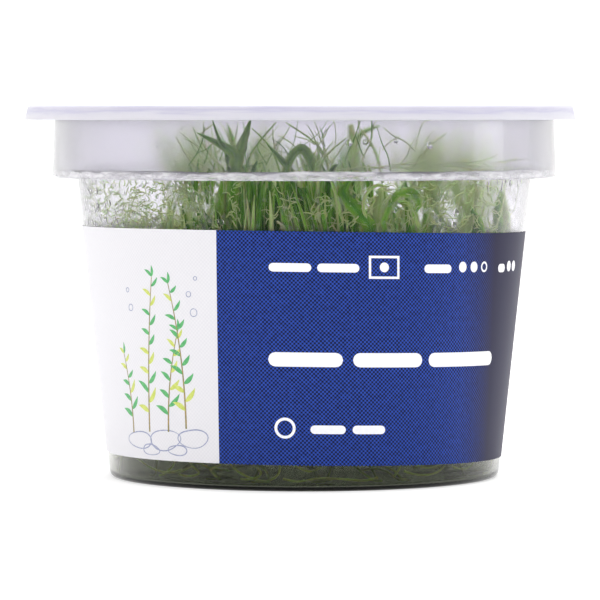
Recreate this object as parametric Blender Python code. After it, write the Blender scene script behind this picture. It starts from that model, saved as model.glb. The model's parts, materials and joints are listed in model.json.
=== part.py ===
"""Sealed culture cup of an aquarium plant.

A tapered clear cup with a stepped neck and a hanging skirt, closed by a press-fit lid with a flared brim.
A printed label is wrapped round the wall. Inside, shoots with whorls of needle leaves stand in a bed of gel.

The origin is the centre of the foot, on the surface that the cup stands on. +Z is up, and the middle of
the label faces -Y. Lengths below are in millimetres and are turned to metres when a mesh is made.
"""

import math
import random

import bmesh
import bpy
from mathutils import Quaternion, Vector

MM = 0.001
FACETS = 36
GAP = 0.3
EDGE = 0.25
CORNER = 0.6
WELD = 0.001

# Cup wall
FOOT_RADIUS = 35.3
TAPER = 0.106
WALL = 0.8
FOOT_FILLET = 2.0
INNER_FILLET = 1.5
FLOOR_TOP = 1.7
HOLLOW_RADIUS = 31.2
HOLLOW_HEIGHT = 0.8
HOLLOW_SLOPE = 0.8

# Neck, rim and skirt of the cup
SHOULDER_Z = 55.0
NECK_RADIUS = 43.5
RIM_Z = 65.9
FLANGE_THICKNESS = 0.9
FLANGE_RADIUS = 47.5
SKIRT_Z = 54.2
SKIRT_THICKNESS = 0.75
SKIRT_TOP_RADIUS = 45.2
SKIRT_BOTTOM_RADIUS = 45.6

# Lid
LID_TOP = 67.1
LID_THICKNESS = 0.9
BRIM_Z = 64.6
BRIM_TOP_RADIUS = 48.6
BRIM_BOTTOM_RADIUS = 49.2
LIP_THICKNESS = 0.6
PLUG_RADIUS = 42.3
PLUG_THICKNESS = 0.8
PLUG_Z = 64.0
PANEL_DEPTH = 1.0
PANEL_THICKNESS = 0.8
PANEL_RADIUS = 41.2
PANEL_SLOPE = 0.5
RING_RADIUS = 36.8
RING_HALF_WIDTH = 0.6
RING_HEIGHT = 0.5
TAB_REACH = 1.45
TAB_HALF_ANGLE = math.radians(17)
TAB_AZIMUTH = math.radians(180)
TAB_BLUNTNESS = 0.6

# Label
LABEL_BOTTOM = 4.4
LABEL_TOP = 45.4
LABEL_THICKNESS = 0.2
LABEL_OPEN_FACETS = 2
LABEL_SKEW = 0.0125

# Gel
GEL_BOTTOM = FLOOR_TOP + GAP
GEL_TOP = 10.5
MENISCUS = 0.6
MENISCUS_REACH = 3.0

# Shoots
STEM_SIDES = 6
STEM_FOOT_RADIUS = 0.95
STEM_TIP_RADIUS = 0.6
STEM_FOOT_Z = 4.6
SOCKET_GAP = 0.4
FIRST_WHORL_Z = 13.5
WHORL_SPACING = 6.6
WHORL_BAND = 0.95
WHORL_TWIST = math.radians(15)
LEAF_LENGTH = 11.5
CROWN_LEAF_LENGTH = 9.5
SHORTEST_LEAF = 0.82
LEAF_SPREAD_LOW = math.radians(36)
LEAF_SPREAD_HIGH = math.radians(24)
SPREAD_JITTER = math.radians(3)
BUD_LENGTH = 3.0
SWAY = 0.5
HOOK_RADIUS = 2.9
HOOK_TURN = math.radians(150)
HOOK_STEPS = 5
LEAF_CLEARANCE = 0.8
LEAF_CEILING = 64.5

# One row for each shoot: the foot's distance from the axis and azimuth in degrees, the same two for the
# crown, the crown's height, and the azimuth that its top hooks over to, or None where it ends in a crown
SHOOTS = (
    (27.6, -103, 35.0, -109, 56.8, None),
    (27.6, -73, 33.0, -86, 56.4, 180),
    (27.6, -45, 34.5, -56, 47.4, -150),
    (27.6, -16, 33.5, -26, 43.0, None),
    (27.6, 15, 32.5, 14, 47.0, None),
    (27.6, 45, 32.0, 42, 52.0, None),
    (27.6, 75, 31.5, 73, 54.5, None),
    (27.6, 105, 31.5, 103, 54.0, None),
    (27.6, 135, 31.5, 131, 52.5, None),
    (27.6, 165, 32.0, 163, 44.0, None),
    (27.6, 195, 32.5, 193, 43.0, None),
    (27.6, 225, 32.5, 224, 44.0, None),
    (13.3, -60, 18.0, -66, 53.0, None),
    (13.3, 0, 17.5, -5, 51.0, None),
    (13.3, 60, 17.0, 56, 54.0, None),
    (13.3, 120, 17.0, 116, 53.5, None),
    (13.3, 180, 17.0, 178, 44.5, None),
    (13.3, 240, 18.0, 236, 44.5, None),
    (0.0, 0, 2.0, -90, 51.5, None),
)


def clear_scene():
    for obj in list(bpy.data.objects):
        bpy.data.objects.remove(obj, do_unlink=True)


def plain_material(name, colour, roughness, alpha=1.0):
    """A non-metallic surface of one colour."""
    material = bpy.data.materials.new(name)
    material.use_nodes = True
    shader = material.node_tree.nodes["Principled BSDF"]
    shader.inputs["Base Color"].default_value = (*colour, 1.0)
    shader.inputs["Roughness"].default_value = roughness
    shader.inputs["Metallic"].default_value = 0.0
    shader.inputs["Alpha"].default_value = alpha
    material.diffuse_color = (*colour, alpha)
    return material


def finish_mesh(name, bm, material, smooth_angle=math.radians(35)):
    """Turns a bmesh in millimetres into an object in metres."""
    bmesh.ops.recalc_face_normals(bm, faces=bm.faces)
    bmesh.ops.scale(bm, vec=(MM, MM, MM), verts=bm.verts)
    mesh = bpy.data.meshes.new(name)
    bm.to_mesh(mesh)
    bm.free()
    mesh.shade_smooth()
    mesh.set_sharp_from_angle(angle=smooth_angle)
    mesh.materials.append(material)
    obj = bpy.data.objects.new(name, mesh)
    bpy.context.scene.collection.objects.link(obj)
    return obj


def wall_radius(z):
    """Outside radius of the tapered wall at a height."""
    return FOOT_RADIUS + TAPER * z


def wall_arc(inset, floor_z, fillet, steps, downwards=False):
    """Points of the fillet that joins a flat floor to the tapered wall, from the floor up."""
    slope = math.atan(TAPER)
    centre_z = floor_z + fillet
    centre_r = wall_radius(centre_z) - inset - fillet / math.cos(slope)
    first, last = -math.pi / 2, -slope
    turns = [first + (last - first) * k / steps for k in range(steps + 1)]
    points = [(centre_r + fillet * math.cos(t), centre_z + fillet * math.sin(t)) for t in turns]
    return points[::-1] if downwards else points


def turned(name, profile, material, shape=None):
    """A round piece: the profile of (radius, height) points, from axis to axis, spun about Z."""
    bm = bmesh.new()
    verts = [bm.verts.new((r, 0.0, z)) for r, z in profile]
    edges = [bm.edges.new(pair) for pair in zip(verts, verts[1:])]
    bmesh.ops.spin(
        bm,
        geom=verts + edges,
        cent=(0, 0, 0),
        axis=(0, 0, 1),
        angle=math.tau,
        steps=FACETS,
        use_merge=True,
    )
    bmesh.ops.remove_doubles(bm, verts=bm.verts, dist=WELD)
    if shape:
        shape(bm)
    return finish_mesh(name, bm, material)


def make_cup(material):
    """The cup in one moulding: floor, wall, shoulder, neck, rim flange and hanging skirt."""
    inner_neck = NECK_RADIUS - WALL
    flange_z = RIM_Z - FLANGE_THICKNESS
    shoulder_top = SHOULDER_Z + WALL
    wall_end = wall_radius(SHOULDER_Z - CORNER)
    hollow = [(0.0, HOLLOW_HEIGHT), (HOLLOW_RADIUS - HOLLOW_SLOPE, HOLLOW_HEIGHT), (HOLLOW_RADIUS, 0.0)]
    shoulder = [
        (wall_end, SHOULDER_Z - CORNER),
        (wall_end + CORNER, SHOULDER_Z),
        (NECK_RADIUS - CORNER, SHOULDER_Z),
        (NECK_RADIUS, SHOULDER_Z + CORNER),
    ]
    skirt = [
        (NECK_RADIUS, flange_z),
        (SKIRT_TOP_RADIUS - SKIRT_THICKNESS, flange_z),
        (SKIRT_BOTTOM_RADIUS - SKIRT_THICKNESS, SKIRT_Z),
        (SKIRT_BOTTOM_RADIUS - EDGE, SKIRT_Z),
        (SKIRT_BOTTOM_RADIUS, SKIRT_Z + EDGE),
        (SKIRT_TOP_RADIUS, flange_z),
    ]
    flange = [
        (FLANGE_RADIUS - EDGE, flange_z),
        (FLANGE_RADIUS, flange_z + EDGE),
        (FLANGE_RADIUS, RIM_Z - EDGE),
        (FLANGE_RADIUS - EDGE, RIM_Z),
        (inner_neck + EDGE, RIM_Z),
        (inner_neck, RIM_Z - EDGE),
    ]
    inside = [
        (inner_neck, shoulder_top + CORNER),
        (inner_neck - CORNER, shoulder_top),
        (wall_end, shoulder_top),
        (wall_radius(SHOULDER_Z) - WALL, shoulder_top - CORNER),
    ]
    profile = hollow + wall_arc(0.0, 0.0, FOOT_FILLET, 4) + shoulder + skirt + flange + inside
    profile += wall_arc(WALL, FLOOR_TOP, INNER_FILLET, 3, downwards=True) + [(0.0, FLOOR_TOP)]
    return turned("cup", profile, material)


def pull_tab(bm):
    """Draws the brim out on one side into a low thumb tab."""
    for vert in bm.verts:
        radius = math.hypot(vert.co.x, vert.co.y)
        if radius < FLANGE_RADIUS:
            continue
        turn = math.atan2(vert.co.y, vert.co.x) - TAB_AZIMUTH
        turn = abs((turn + math.pi) % math.tau - math.pi)
        if turn < TAB_HALF_ANGLE:
            reach = TAB_REACH * math.cos(turn / TAB_HALF_ANGLE * math.pi / 2) ** TAB_BLUNTNESS
            vert.co.xy *= (radius + reach) / radius


def make_lid(material):
    """The press-fit lid: a panel with a stacking ring, a plug inside the neck and a flared brim."""
    under = LID_TOP - LID_THICKNESS
    panel_top = LID_TOP - PANEL_DEPTH
    panel_under = panel_top - PANEL_THICKNESS
    plug_inner = PLUG_RADIUS - PLUG_THICKNESS
    plug = [
        (plug_inner, panel_under),
        (plug_inner, PLUG_Z + EDGE),
        (plug_inner + EDGE, PLUG_Z),
        (PLUG_RADIUS - EDGE, PLUG_Z),
        (PLUG_RADIUS, PLUG_Z + EDGE),
        (PLUG_RADIUS, under),
    ]
    brim = [
        (BRIM_TOP_RADIUS - LIP_THICKNESS, under),
        (BRIM_BOTTOM_RADIUS - LIP_THICKNESS, BRIM_Z),
        (BRIM_BOTTOM_RADIUS, BRIM_Z),
        (BRIM_TOP_RADIUS, LID_TOP - EDGE),
        (BRIM_TOP_RADIUS - EDGE, LID_TOP),
    ]
    ring = [
        (PANEL_RADIUS + PANEL_SLOPE, LID_TOP),
        (PANEL_RADIUS, panel_top),
        (RING_RADIUS + RING_HALF_WIDTH, panel_top),
        (RING_RADIUS + RING_HALF_WIDTH / 2, panel_top + RING_HEIGHT),
        (RING_RADIUS - RING_HALF_WIDTH / 2, panel_top + RING_HEIGHT),
        (RING_RADIUS - RING_HALF_WIDTH, panel_top),
        (0.0, panel_top),
    ]
    return turned("lid", [(0.0, panel_under)] + plug + brim + ring, material, pull_tab)


def make_label(material):
    """The label: a thin band round the tapered wall, open at the back and stuck on slightly askew."""
    bm = bmesh.new()
    outer = GAP + LABEL_THICKNESS
    corners = ((GAP, LABEL_BOTTOM), (outer, LABEL_BOTTOM), (outer, LABEL_TOP), (GAP, LABEL_TOP))
    open_angle = math.tau * LABEL_OPEN_FACETS / FACETS
    start = (math.pi + open_angle) / 2
    verts = []
    for offset, z in corners:
        radius = wall_radius(z) + offset
        verts.append(bm.verts.new((radius * math.cos(start), radius * math.sin(start), z)))
    edges = [bm.edges.new((verts[k], verts[(k + 1) % 4])) for k in range(4)]
    bmesh.ops.spin(
        bm,
        geom=verts + edges,
        cent=(0, 0, 0),
        axis=(0, 0, 1),
        angle=math.tau - open_angle,
        steps=FACETS - LABEL_OPEN_FACETS,
    )
    open_edges = [edge for edge in bm.edges if edge.is_boundary]
    bmesh.ops.edgeloop_fill(bm, edges=open_edges)
    for vert in bm.verts:
        radius = math.hypot(vert.co.x, vert.co.y)
        shift = -LABEL_SKEW * vert.co.x
        vert.co.z += shift
        vert.co.xy *= (radius + TAPER * shift) / radius
    return finish_mesh("label", bm, material)


def outward(azimuth, reach=1.0):
    """The level vector of the given length that points to an azimuth in degrees."""
    turn = math.radians(azimuth)
    return Vector((reach * math.cos(turn), reach * math.sin(turn), 0.0))


def shoot_axis(row, phase, z):
    """The point of a shoot's stem at a height: a straight lean from foot to crown, with a slight sway."""
    foot_radius, foot_azimuth, crown_radius, crown_azimuth, height, _ = row
    share = (z - STEM_FOOT_Z) / (height - STEM_FOOT_Z)
    place = outward(foot_azimuth, foot_radius).lerp(outward(crown_azimuth, crown_radius), share)
    place += outward(math.degrees(phase), SWAY * math.sin(math.pi * share))
    place.z = z
    return place


def shoot_stations(row, phase):
    """Points up the stem, each with a flag that is True at the foot of a whorl."""
    height, hook = row[4], row[5]
    stations = [(shoot_axis(row, phase, STEM_FOOT_Z), False)]
    gaps = round((height - FIRST_WHORL_Z) / WHORL_SPACING)
    for k in range(gaps + 1):
        z = FIRST_WHORL_Z + (height - FIRST_WHORL_Z) * k / gaps
        stations.append((shoot_axis(row, phase, z), k < gaps or hook is None))
    if hook is None:
        return stations
    top = stations[-1][0]
    for k in range(1, HOOK_STEPS + 1):
        turn = HOOK_TURN * k / HOOK_STEPS
        along = outward(hook, HOOK_RADIUS * (1 - math.cos(turn)))
        stations.append((top + along + Vector((0, 0, HOOK_RADIUS * math.sin(turn))), False))
    return stations


def kept_inside(point):
    """The point, drawn in where it would come too near the wall, the neck or the lid."""
    room = NECK_RADIUS if point.z > SHOULDER_Z + 2 * WALL else wall_radius(min(point.z, SHOULDER_Z))
    room -= WALL + LEAF_CLEARANCE
    away = math.hypot(point.x, point.y)
    if away > room:
        point.xy *= room / away
    point.z = min(point.z, LEAF_CEILING)
    return point


def extrude_to(bm, face, places):
    """Extrudes one face and puts its corners at the given places."""
    new_face = bmesh.ops.extrude_discrete_faces(bm, faces=[face])["faces"][0]
    for vert, place in zip(new_face.verts, places):
        vert.co = place
    return new_face


def ring_places(centre, turn, radius, twist):
    """Corners of the stem's cross-section, turned to look along the stem."""
    steps = [twist + math.tau * k / STEM_SIDES for k in range(STEM_SIDES)]
    return [centre + turn @ Vector((radius * math.cos(a), radius * math.sin(a), 0.0)) for a in steps]


def grow_leaf(bm, face, middle, heading, length, spread):
    """Draws a side face of the stem out into a needle leaf."""
    tip = face.calc_center_median()
    away = (tip - middle).normalized()
    tip += (away * math.sin(spread) + heading * math.cos(spread)) * length
    point = extrude_to(bm, face, [vert.co.copy() for vert in face.verts])
    bmesh.ops.pointmerge(bm, verts=point.verts, merge_co=kept_inside(tip))


def make_shoot(name, stations, rng, material):
    """One shoot: its stem and the leaves of each whorl, in one piece."""
    bm = bmesh.new()
    turn = Quaternion()
    heading = Vector((0, 0, 1))
    twist = rng.uniform(0, math.tau)
    last = len(stations) - 1
    top = bm.faces.new([bm.verts.new(p) for p in ring_places(stations[0][0], turn, STEM_FOOT_RADIUS, twist)])
    whorls = []
    for k, (point, has_leaves) in enumerate(stations[1:], start=1):
        direction = (point - stations[k - 1][0]).normalized()
        turn = heading.rotation_difference(direction) @ turn
        heading = direction
        share = k / last
        radius = STEM_FOOT_RADIUS + (STEM_TIP_RADIUS - STEM_FOOT_RADIUS) * share
        top = extrude_to(bm, top, ring_places(point, turn, radius, twist))
        if has_leaves:
            band = heading * WHORL_BAND
            top = extrude_to(bm, top, ring_places(point + band, turn, radius, twist))
            sides = [face for edge in top.edges for face in edge.link_faces if face is not top]
            whorls.append((sides, point + band / 2, heading, share))
            twist += WHORL_TWIST
    tip = top.calc_center_median() + heading * BUD_LENGTH
    bud = extrude_to(bm, top, [vert.co.copy() for vert in top.verts])
    bmesh.ops.pointmerge(bm, verts=bud.verts, merge_co=tip)
    bmesh.ops.holes_fill(bm, edges=[edge for edge in bm.edges if edge.is_boundary])
    for sides, middle, heading, share in whorls:
        length = LEAF_LENGTH + (CROWN_LEAF_LENGTH - LEAF_LENGTH) * share
        spread = LEAF_SPREAD_LOW + (LEAF_SPREAD_HIGH - LEAF_SPREAD_LOW) * share
        for face in sides:
            leaf_length = length * rng.uniform(SHORTEST_LEAF, 1.0)
            leaf_spread = spread + rng.uniform(-SPREAD_JITTER, SPREAD_JITTER)
            grow_leaf(bm, face, middle, heading, leaf_length, leaf_spread)
    return finish_mesh(name, bm, material, smooth_angle=math.radians(50))


def make_shoots(material):
    """All shoots, and for each the stretch of its stem that stands in the gel."""
    feet = []
    for number, row in enumerate(SHOOTS, start=1):
        rng = random.Random(number)
        stations = shoot_stations(row, rng.uniform(0, math.tau))
        make_shoot(f"shoot_{number:02d}", stations, rng, material)
        feet.append((stations[0][0], stations[1][0]))
    return feet


def make_gel(feet, material):
    """The bed of gel, with a raised edge at the wall and a socket round each stem."""
    edge = wall_radius(GEL_TOP + MENISCUS) - WALL - GAP
    profile = [(0.0, GEL_BOTTOM)] + wall_arc(WALL + GAP, GEL_BOTTOM, INNER_FILLET, 2)
    profile += [
        (edge, GEL_TOP + MENISCUS),
        (edge - MENISCUS_REACH / 2, GEL_TOP + MENISCUS / 5),
        (edge - MENISCUS_REACH, GEL_TOP),
        (0.0, GEL_TOP),
    ]
    gel = turned("gel", profile, material)
    bm = bmesh.new()
    for foot, above in feet:
        direction = (above - foot).normalized()
        turn = Vector((0, 0, 1)).rotation_difference(direction)
        radius = STEM_FOOT_RADIUS + SOCKET_GAP
        low = ring_places(foot - direction * GAP, turn, radius, 0.0)
        bottom = bm.faces.new([bm.verts.new(place) for place in low])
        extrude_to(bm, bottom, ring_places(above, turn, radius, 0.0))
    bmesh.ops.holes_fill(bm, edges=[edge for edge in bm.edges if edge.is_boundary])
    sockets = finish_mesh("gel_sockets", bm, material)
    sockets.hide_render = True
    sockets.display_type = "WIRE"
    cut = gel.modifiers.new("sockets", "BOOLEAN")
    cut.operation = "DIFFERENCE"
    cut.object = sockets
    return gel


def main():
    clear_scene()
    make_cup(plain_material("clear_cup_plastic", (0.86, 0.86, 0.90), 0.15, alpha=0.35))
    make_lid(plain_material("frosted_lid_plastic", (0.80, 0.80, 0.88), 0.35, alpha=0.6))
    make_label(plain_material("printed_label", (0.02, 0.05, 0.24), 0.4))
    feet = make_shoots(plain_material("leaf_green", (0.12, 0.24, 0.04), 0.45))
    make_gel(feet, plain_material("culture_gel", (0.20, 0.21, 0.15), 0.2, alpha=0.7))


main()
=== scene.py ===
"""Sealed culture cup of an aquarium plant: its plastics, print, gel, shoots and water.

Lengths are in millimetres until a mesh is made. +Z is up, and the middle of the label faces -Y. Angles
round the cup are counted from -Y towards +X.
"""

import json
import logging
import math
import random
from dataclasses import dataclass, field
from enum import Enum

import bmesh
import bpy
from mathutils import Matrix, Quaternion, Vector

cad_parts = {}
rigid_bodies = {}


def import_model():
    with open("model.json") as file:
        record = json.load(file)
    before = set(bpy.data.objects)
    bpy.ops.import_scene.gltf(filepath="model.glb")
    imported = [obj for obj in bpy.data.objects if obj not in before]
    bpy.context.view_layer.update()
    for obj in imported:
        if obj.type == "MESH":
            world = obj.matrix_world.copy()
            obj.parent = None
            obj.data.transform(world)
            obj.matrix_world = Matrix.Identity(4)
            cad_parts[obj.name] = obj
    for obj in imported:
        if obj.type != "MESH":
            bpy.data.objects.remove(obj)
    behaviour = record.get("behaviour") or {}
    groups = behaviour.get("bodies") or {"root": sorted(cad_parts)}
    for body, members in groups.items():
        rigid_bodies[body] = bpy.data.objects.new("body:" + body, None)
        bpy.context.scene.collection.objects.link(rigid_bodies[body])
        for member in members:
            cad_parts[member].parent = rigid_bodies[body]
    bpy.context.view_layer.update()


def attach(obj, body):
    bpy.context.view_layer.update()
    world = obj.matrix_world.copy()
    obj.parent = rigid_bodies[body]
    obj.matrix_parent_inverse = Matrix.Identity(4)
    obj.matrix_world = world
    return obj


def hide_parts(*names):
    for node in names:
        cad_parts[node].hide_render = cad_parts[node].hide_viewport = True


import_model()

LOG = logging.getLogger("culture_cup")
MM = 0.001
BODY = "root"
ON_AXIS = 1e-6
UP = Vector((0, 0, 1))
Profile = list[tuple[float, float, float]]
Flat = tuple[float, float]
Point = tuple[float, float, float]
Leaf = tuple[Vector, Vector, Vector, float, float, float]
Tree = bpy.types.NodeTree
Socket = bpy.types.NodeSocket
Material = bpy.types.Material
Object = bpy.types.Object
# The kinds of node that come up often.
MATH = "ShaderNodeMath"
RANGE = "ShaderNodeMapRange"
NOISE = "ShaderNodeTexNoise"
SPLIT = "ShaderNodeSeparateXYZ"
RAMP = "ShaderNodeValToRGB"
DRESS = "GeometryNodeSetMaterial"
CHANCE = "FunctionNodeRandomValue"


class Ink(Enum):
    """The inks of the label, by the material that each prints with."""

    WHITE = "white_flexo_ink"
    LEAF = "leaf_green_flexo_ink"
    LIME = "lime_flexo_ink"
    STEM = "olive_flexo_ink"
    LINE = "slate_flexo_ink"


def linear(code: str, alpha: float = 1.0) -> tuple[float, float, float, float]:
    """Turns an sRGB hex colour to linear.

    Args:
        code: six hex digits after a hash sign.
        alpha: the fourth value.

    Returns:
        red, green, blue and alpha.
    """
    parts = [int(code[k : k + 2], 16) / 255 for k in (1, 3, 5)]
    r, g, b = (c / 12.92 if c <= 0.04045 else ((c + 0.055) / 1.055) ** 2.4 for c in parts)
    return r, g, b, alpha


def add(
    tree: Tree,
    kind: str,
    inputs: dict | tuple = (),
    stops: tuple = (),
    out: int | str = 0,
    **settings: object,
) -> Socket | None:
    """Adds one node with its settings and links.

    Args:
        tree: the tree that gets the node.
        kind: the node's type.
        inputs: a value, or the output that feeds it, for each socket: by name or number, or else in order.
        stops: place and hex colour of each stop, where the node has a colour ramp.
        out: the output that is wanted.
        settings: the node's own properties.

    Returns:
        that output, if the node has any.
    """
    node = tree.nodes.new(kind)
    for key, value in settings.items():
        setattr(node, key, value)
    for key, value in inputs.items() if isinstance(inputs, dict) else enumerate(inputs):
        if isinstance(value, Socket):
            tree.links.new(value, node.inputs[key])
        else:
            node.inputs[key].default_value = value
    for k, (place, code) in enumerate(stops):
        elements = node.color_ramp.elements
        element = elements[k] if k < 2 else elements.new(place)
        element.position = place
        element.color = linear(code)
    return node.outputs[out] if node.outputs else None


def new_finish(name: str, values: dict[str, object]) -> tuple[Material, Tree, bpy.types.Node]:
    """Starts a material with the values that are the same all over it.

    Args:
        name: the real material that it is named for.
        values: the shader's own sockets and what they are set to.

    Returns:
        the material, its tree and its shader.
    """
    material = bpy.data.materials.new(name)
    material.use_nodes = True
    shader = material.node_tree.nodes["Principled BSDF"]
    for socket, value in values.items():
        shader.inputs[socket].default_value = value
    return material, material.node_tree, shader


@dataclass(frozen=True)
class Moulding:
    """Injection-moulded polypropylene, from clear to milky.

    A faint ripple of the surface, a few millimetres long, gives the eye the soft wobble of what is seen
    through a thin moulded wall. Its roughness blurs what lies far behind it and leaves sharp what touches it.
    The gloss is held down as a polarising filter does it, so that the leaves behind keep their full colour.
    """

    name: str
    colour: str
    transmission: float
    roughness: float
    ior: float = 1.49
    ripple_mm: float = 7.0
    ripple_height_mm: float = 0.02
    gloss: str = "#787878"
    # Painted light on the lid's brim: bands of painted shade by height, and level streaks of painted glints.
    painted_shade_bands: tuple[tuple[float, str], ...] = ()
    glint_streak_mm: float = 11.0
    glint_streak_share: float = 1.1
    frost_mm: float = 0.0
    frost_wave_mm: float = 13.0
    frost_dip_mm: float = 1.4
    frost_edge_mm: float = 0.15
    mottle_mm: float = 2.8
    cloudiest: float = 0.55
    mist_mm: float = 0.0
    mist_roughness: float = 0.12
    mist_left_mm: Flat = (-10.0, -26.0)
    mist_right_mm: Flat = (18.0, 30.0)

    def material(self) -> Material:
        """Builds the material.

        Returns:
            the material, with the painted shade bands and painted glint streaks, haze or dew that its sizes
            ask for.
        """
        material, tree, shader = new_finish(
            self.name,
            {
                "Base Color": linear(self.colour),
                "Transmission Weight": self.transmission,
                "Roughness": self.roughness,
                "IOR": self.ior,
                "Specular Tint": linear(self.gloss),
            },
        )
        place = add(tree, "ShaderNodeTexCoord", out="Object")
        ripple = add(tree, NOISE, {"Vector": place, "Scale": 1 / (self.ripple_mm * MM), "Detail": 1.0})
        swell = {"Height": ripple, "Distance": self.ripple_height_mm * MM, "Strength": 1.0}
        tree.links.new(add(tree, "ShaderNodeBump", swell, out="Normal"), shader.inputs["Normal"])
        if self.painted_shade_bands:
            tree.links.new(self.paint_shade_and_glints(tree, place), shader.inputs["Base Color"])
        if self.frost_mm:
            tree.links.new(self.frost(tree, place), shader.inputs["Transmission Weight"])
        if self.mist_mm:
            tree.links.new(self.mist(tree, place), shader.inputs["Roughness"])
        return material

    def frost(self, tree: Tree, place: Socket) -> Socket:
        """Clouds the plastic below an uneven line, where the thick bend of the moulding has turned white.

        Args:
            tree: the material's tree.
            place: the object coordinates.

        Returns:
            how much light the plastic lets through.
        """
        level = add(tree, "ShaderNodeMapping", {"Vector": place, "Scale": (1.0, 1.0, 0.2)})
        wave = add(tree, NOISE, {"Vector": level, "Scale": 1 / (self.frost_wave_mm * MM), "Detail": 2.0})
        height = add(tree, SPLIT, (place,), out="Z")
        moved = add(tree, MATH, (wave, -self.frost_dip_mm * MM, height), operation="MULTIPLY_ADD")
        low = (self.frost_mm - self.frost_dip_mm / 2) * MM
        edge = self.frost_edge_mm * MM
        streak = add(tree, "ShaderNodeMapping", {"Vector": place, "Scale": (1.0, 1.0, 3.5)})
        mottle = add(tree, NOISE, {"Vector": streak, "Scale": 1 / (self.mottle_mm * MM), "Detail": 2.0})
        hazy = add(tree, RANGE, (mottle, 0.35, 0.7, self.cloudiest, 0.97))
        step = (moved, low - edge, low + edge)
        return add(tree, RANGE, (*step, hazy, self.transmission))

    def mist(self, tree: Tree, place: Socket) -> Socket:
        """Dulls the inner face with fine dew in curly patches, densest on the left of the cup.

        Args:
            tree: the material's tree.
            place: the object coordinates.

        Returns:
            the roughness with the dew's share added.
        """
        curls = {"Vector": place, "Scale": 1 / (self.mist_mm * MM), "Detail": 2.0, "Distortion": 1.6}
        noise = add(tree, NOISE, curls)
        dew = add(tree, RANGE, (noise, 0.44, 0.56, 0.0, self.mist_roughness))
        across = add(tree, SPLIT, (place,), out="X")
        shares = []
        for (start, full), most in ((self.mist_left_mm, 1.0), (self.mist_right_mm, 0.7)):
            shares.append(add(tree, RANGE, (across, start * MM, full * MM, 0.0, most)))
        share = add(tree, MATH, tuple(shares), operation="ADD")
        veil = add(tree, MATH, (dew, share), operation="MULTIPLY")
        return add(tree, MATH, (self.roughness, veil), operation="ADD")

    def paint_shade_and_glints(self, tree: Tree, place: Socket) -> Socket:
        """Paints light and shade on the plastic by height: a darker band of painted shade across the upper
        brim between lighter bands, broken by long level streaks of painted glints.

        Args:
            tree: the material's tree.
            place: the object coordinates.

        Returns:
            the colour.
        """
        low, high = self.painted_shade_bands[0][0], self.painted_shade_bands[-1][0]
        height = add(tree, SPLIT, (place,), out="Z")
        flat = add(tree, "ShaderNodeMapping", {"Vector": place, "Scale": (1.0, 1.0, 12.0)})
        streak = add(tree, NOISE, {"Vector": flat, "Scale": 1 / (self.glint_streak_mm * MM), "Detail": 3.0})
        share = add(tree, RANGE, (height, low * MM, high * MM))
        moved = add(tree, MATH, (streak, self.glint_streak_share, share), operation="MULTIPLY_ADD")
        level = add(tree, MATH, (moved, self.glint_streak_share / 2), operation="SUBTRACT")
        stops = tuple(((z - low) / (high - low), code) for z, code in self.painted_shade_bands)
        return add(tree, RAMP, {"Fac": level}, stops, out="Color")


@dataclass(frozen=True)
class Fluid:
    """Water or water-based gel: smooth, clear and with a low index, so that drops read as bright rings."""

    name: str
    colour: str
    ior: float = 1.333
    roughness: float = 0.0
    transmission: float = 1.0
    depth_colour: str = "#ffffff"
    density: float = 0.0

    def material(self) -> Material:
        """Builds the material.

        Returns:
            the material, which takes up light with depth where it has a density.
        """
        material, tree, _ = new_finish(
            self.name,
            {
                "Base Color": linear(self.colour),
                "Transmission Weight": self.transmission,
                "Roughness": self.roughness,
                "IOR": self.ior,
            },
        )
        if self.density:
            depth = {"Color": linear(self.depth_colour), "Density": self.density}
            volume = add(tree, "ShaderNodeVolumeAbsorption", depth)
            tree.links.new(volume, tree.nodes["Material Output"].inputs["Volume"])
        return material


@dataclass(frozen=True)
class Film:
    """Satin polypropylene label film with a flexographic print: a white ground or a screened blue.

    It gives the eye a soft even sheen, and in the blue a fine diagonal screen of dark dots. The real dots are
    0.37 mm apart, finer than the picture can hold, so they are drawn at 0.5 mm.
    """

    name: str
    colours: tuple[str, str]
    roughness: float = 0.4
    shade_end_colour: str = ""
    shade_end_mm: Flat = (46.0, 56.0)
    screen_mm: float = 0.5
    screen_turn: float = math.radians(43)

    def material(self) -> Material:
        """Builds the material. The screen is a diagonal dot pattern, read from the label's flat map.

        Returns:
            the material.
        """
        gloss = {"Roughness": self.roughness, "Specular IOR Level": 0.15}
        material, tree, shader = new_finish(self.name, gloss)
        flat = add(tree, "ShaderNodeUVMap", uv_map="flat_mm")
        turned = add(tree, "ShaderNodeMapping", {"Vector": flat, "Rotation": (0, 0, self.screen_turn)})
        split = add(tree, SPLIT, (turned,)).node.outputs
        waves = []
        for axis in ("X", "Y"):
            turn = add(tree, MATH, (split[axis], math.tau / self.screen_mm), operation="MULTIPLY")
            waves.append(add(tree, MATH, (turn,), operation="SINE"))
        dots = add(tree, MATH, tuple(waves), operation="ADD")
        noise = add(tree, NOISE, {"Vector": flat, "Scale": 1.1, "Detail": 3.0})
        uneven = add(tree, MATH, (noise, 1.6, dots), operation="MULTIPLY_ADD")
        level = add(tree, RANGE, (uneven, -0.1, 1.9))
        stops = ((0.1, self.colours[0]), (0.9, self.colours[1]))
        colour = add(tree, RAMP, {"Fac": level}, stops, out="Color")
        # Painted shade: the blue darkens to a dull purple towards the film's right end, where it turns away
        # from the light.
        if self.shade_end_colour:
            along = add(tree, SPLIT, (flat,), out="X")
            share = add(tree, RANGE, (along, self.shade_end_mm[0], self.shade_end_mm[1]))
            mixed = {0: share, 6: colour, 7: linear(self.shade_end_colour)}
            colour = add(tree, "ShaderNodeMix", mixed, data_type="RGBA", out=2)
        tree.links.new(colour, shader.inputs["Base Color"])
        return material


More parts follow.
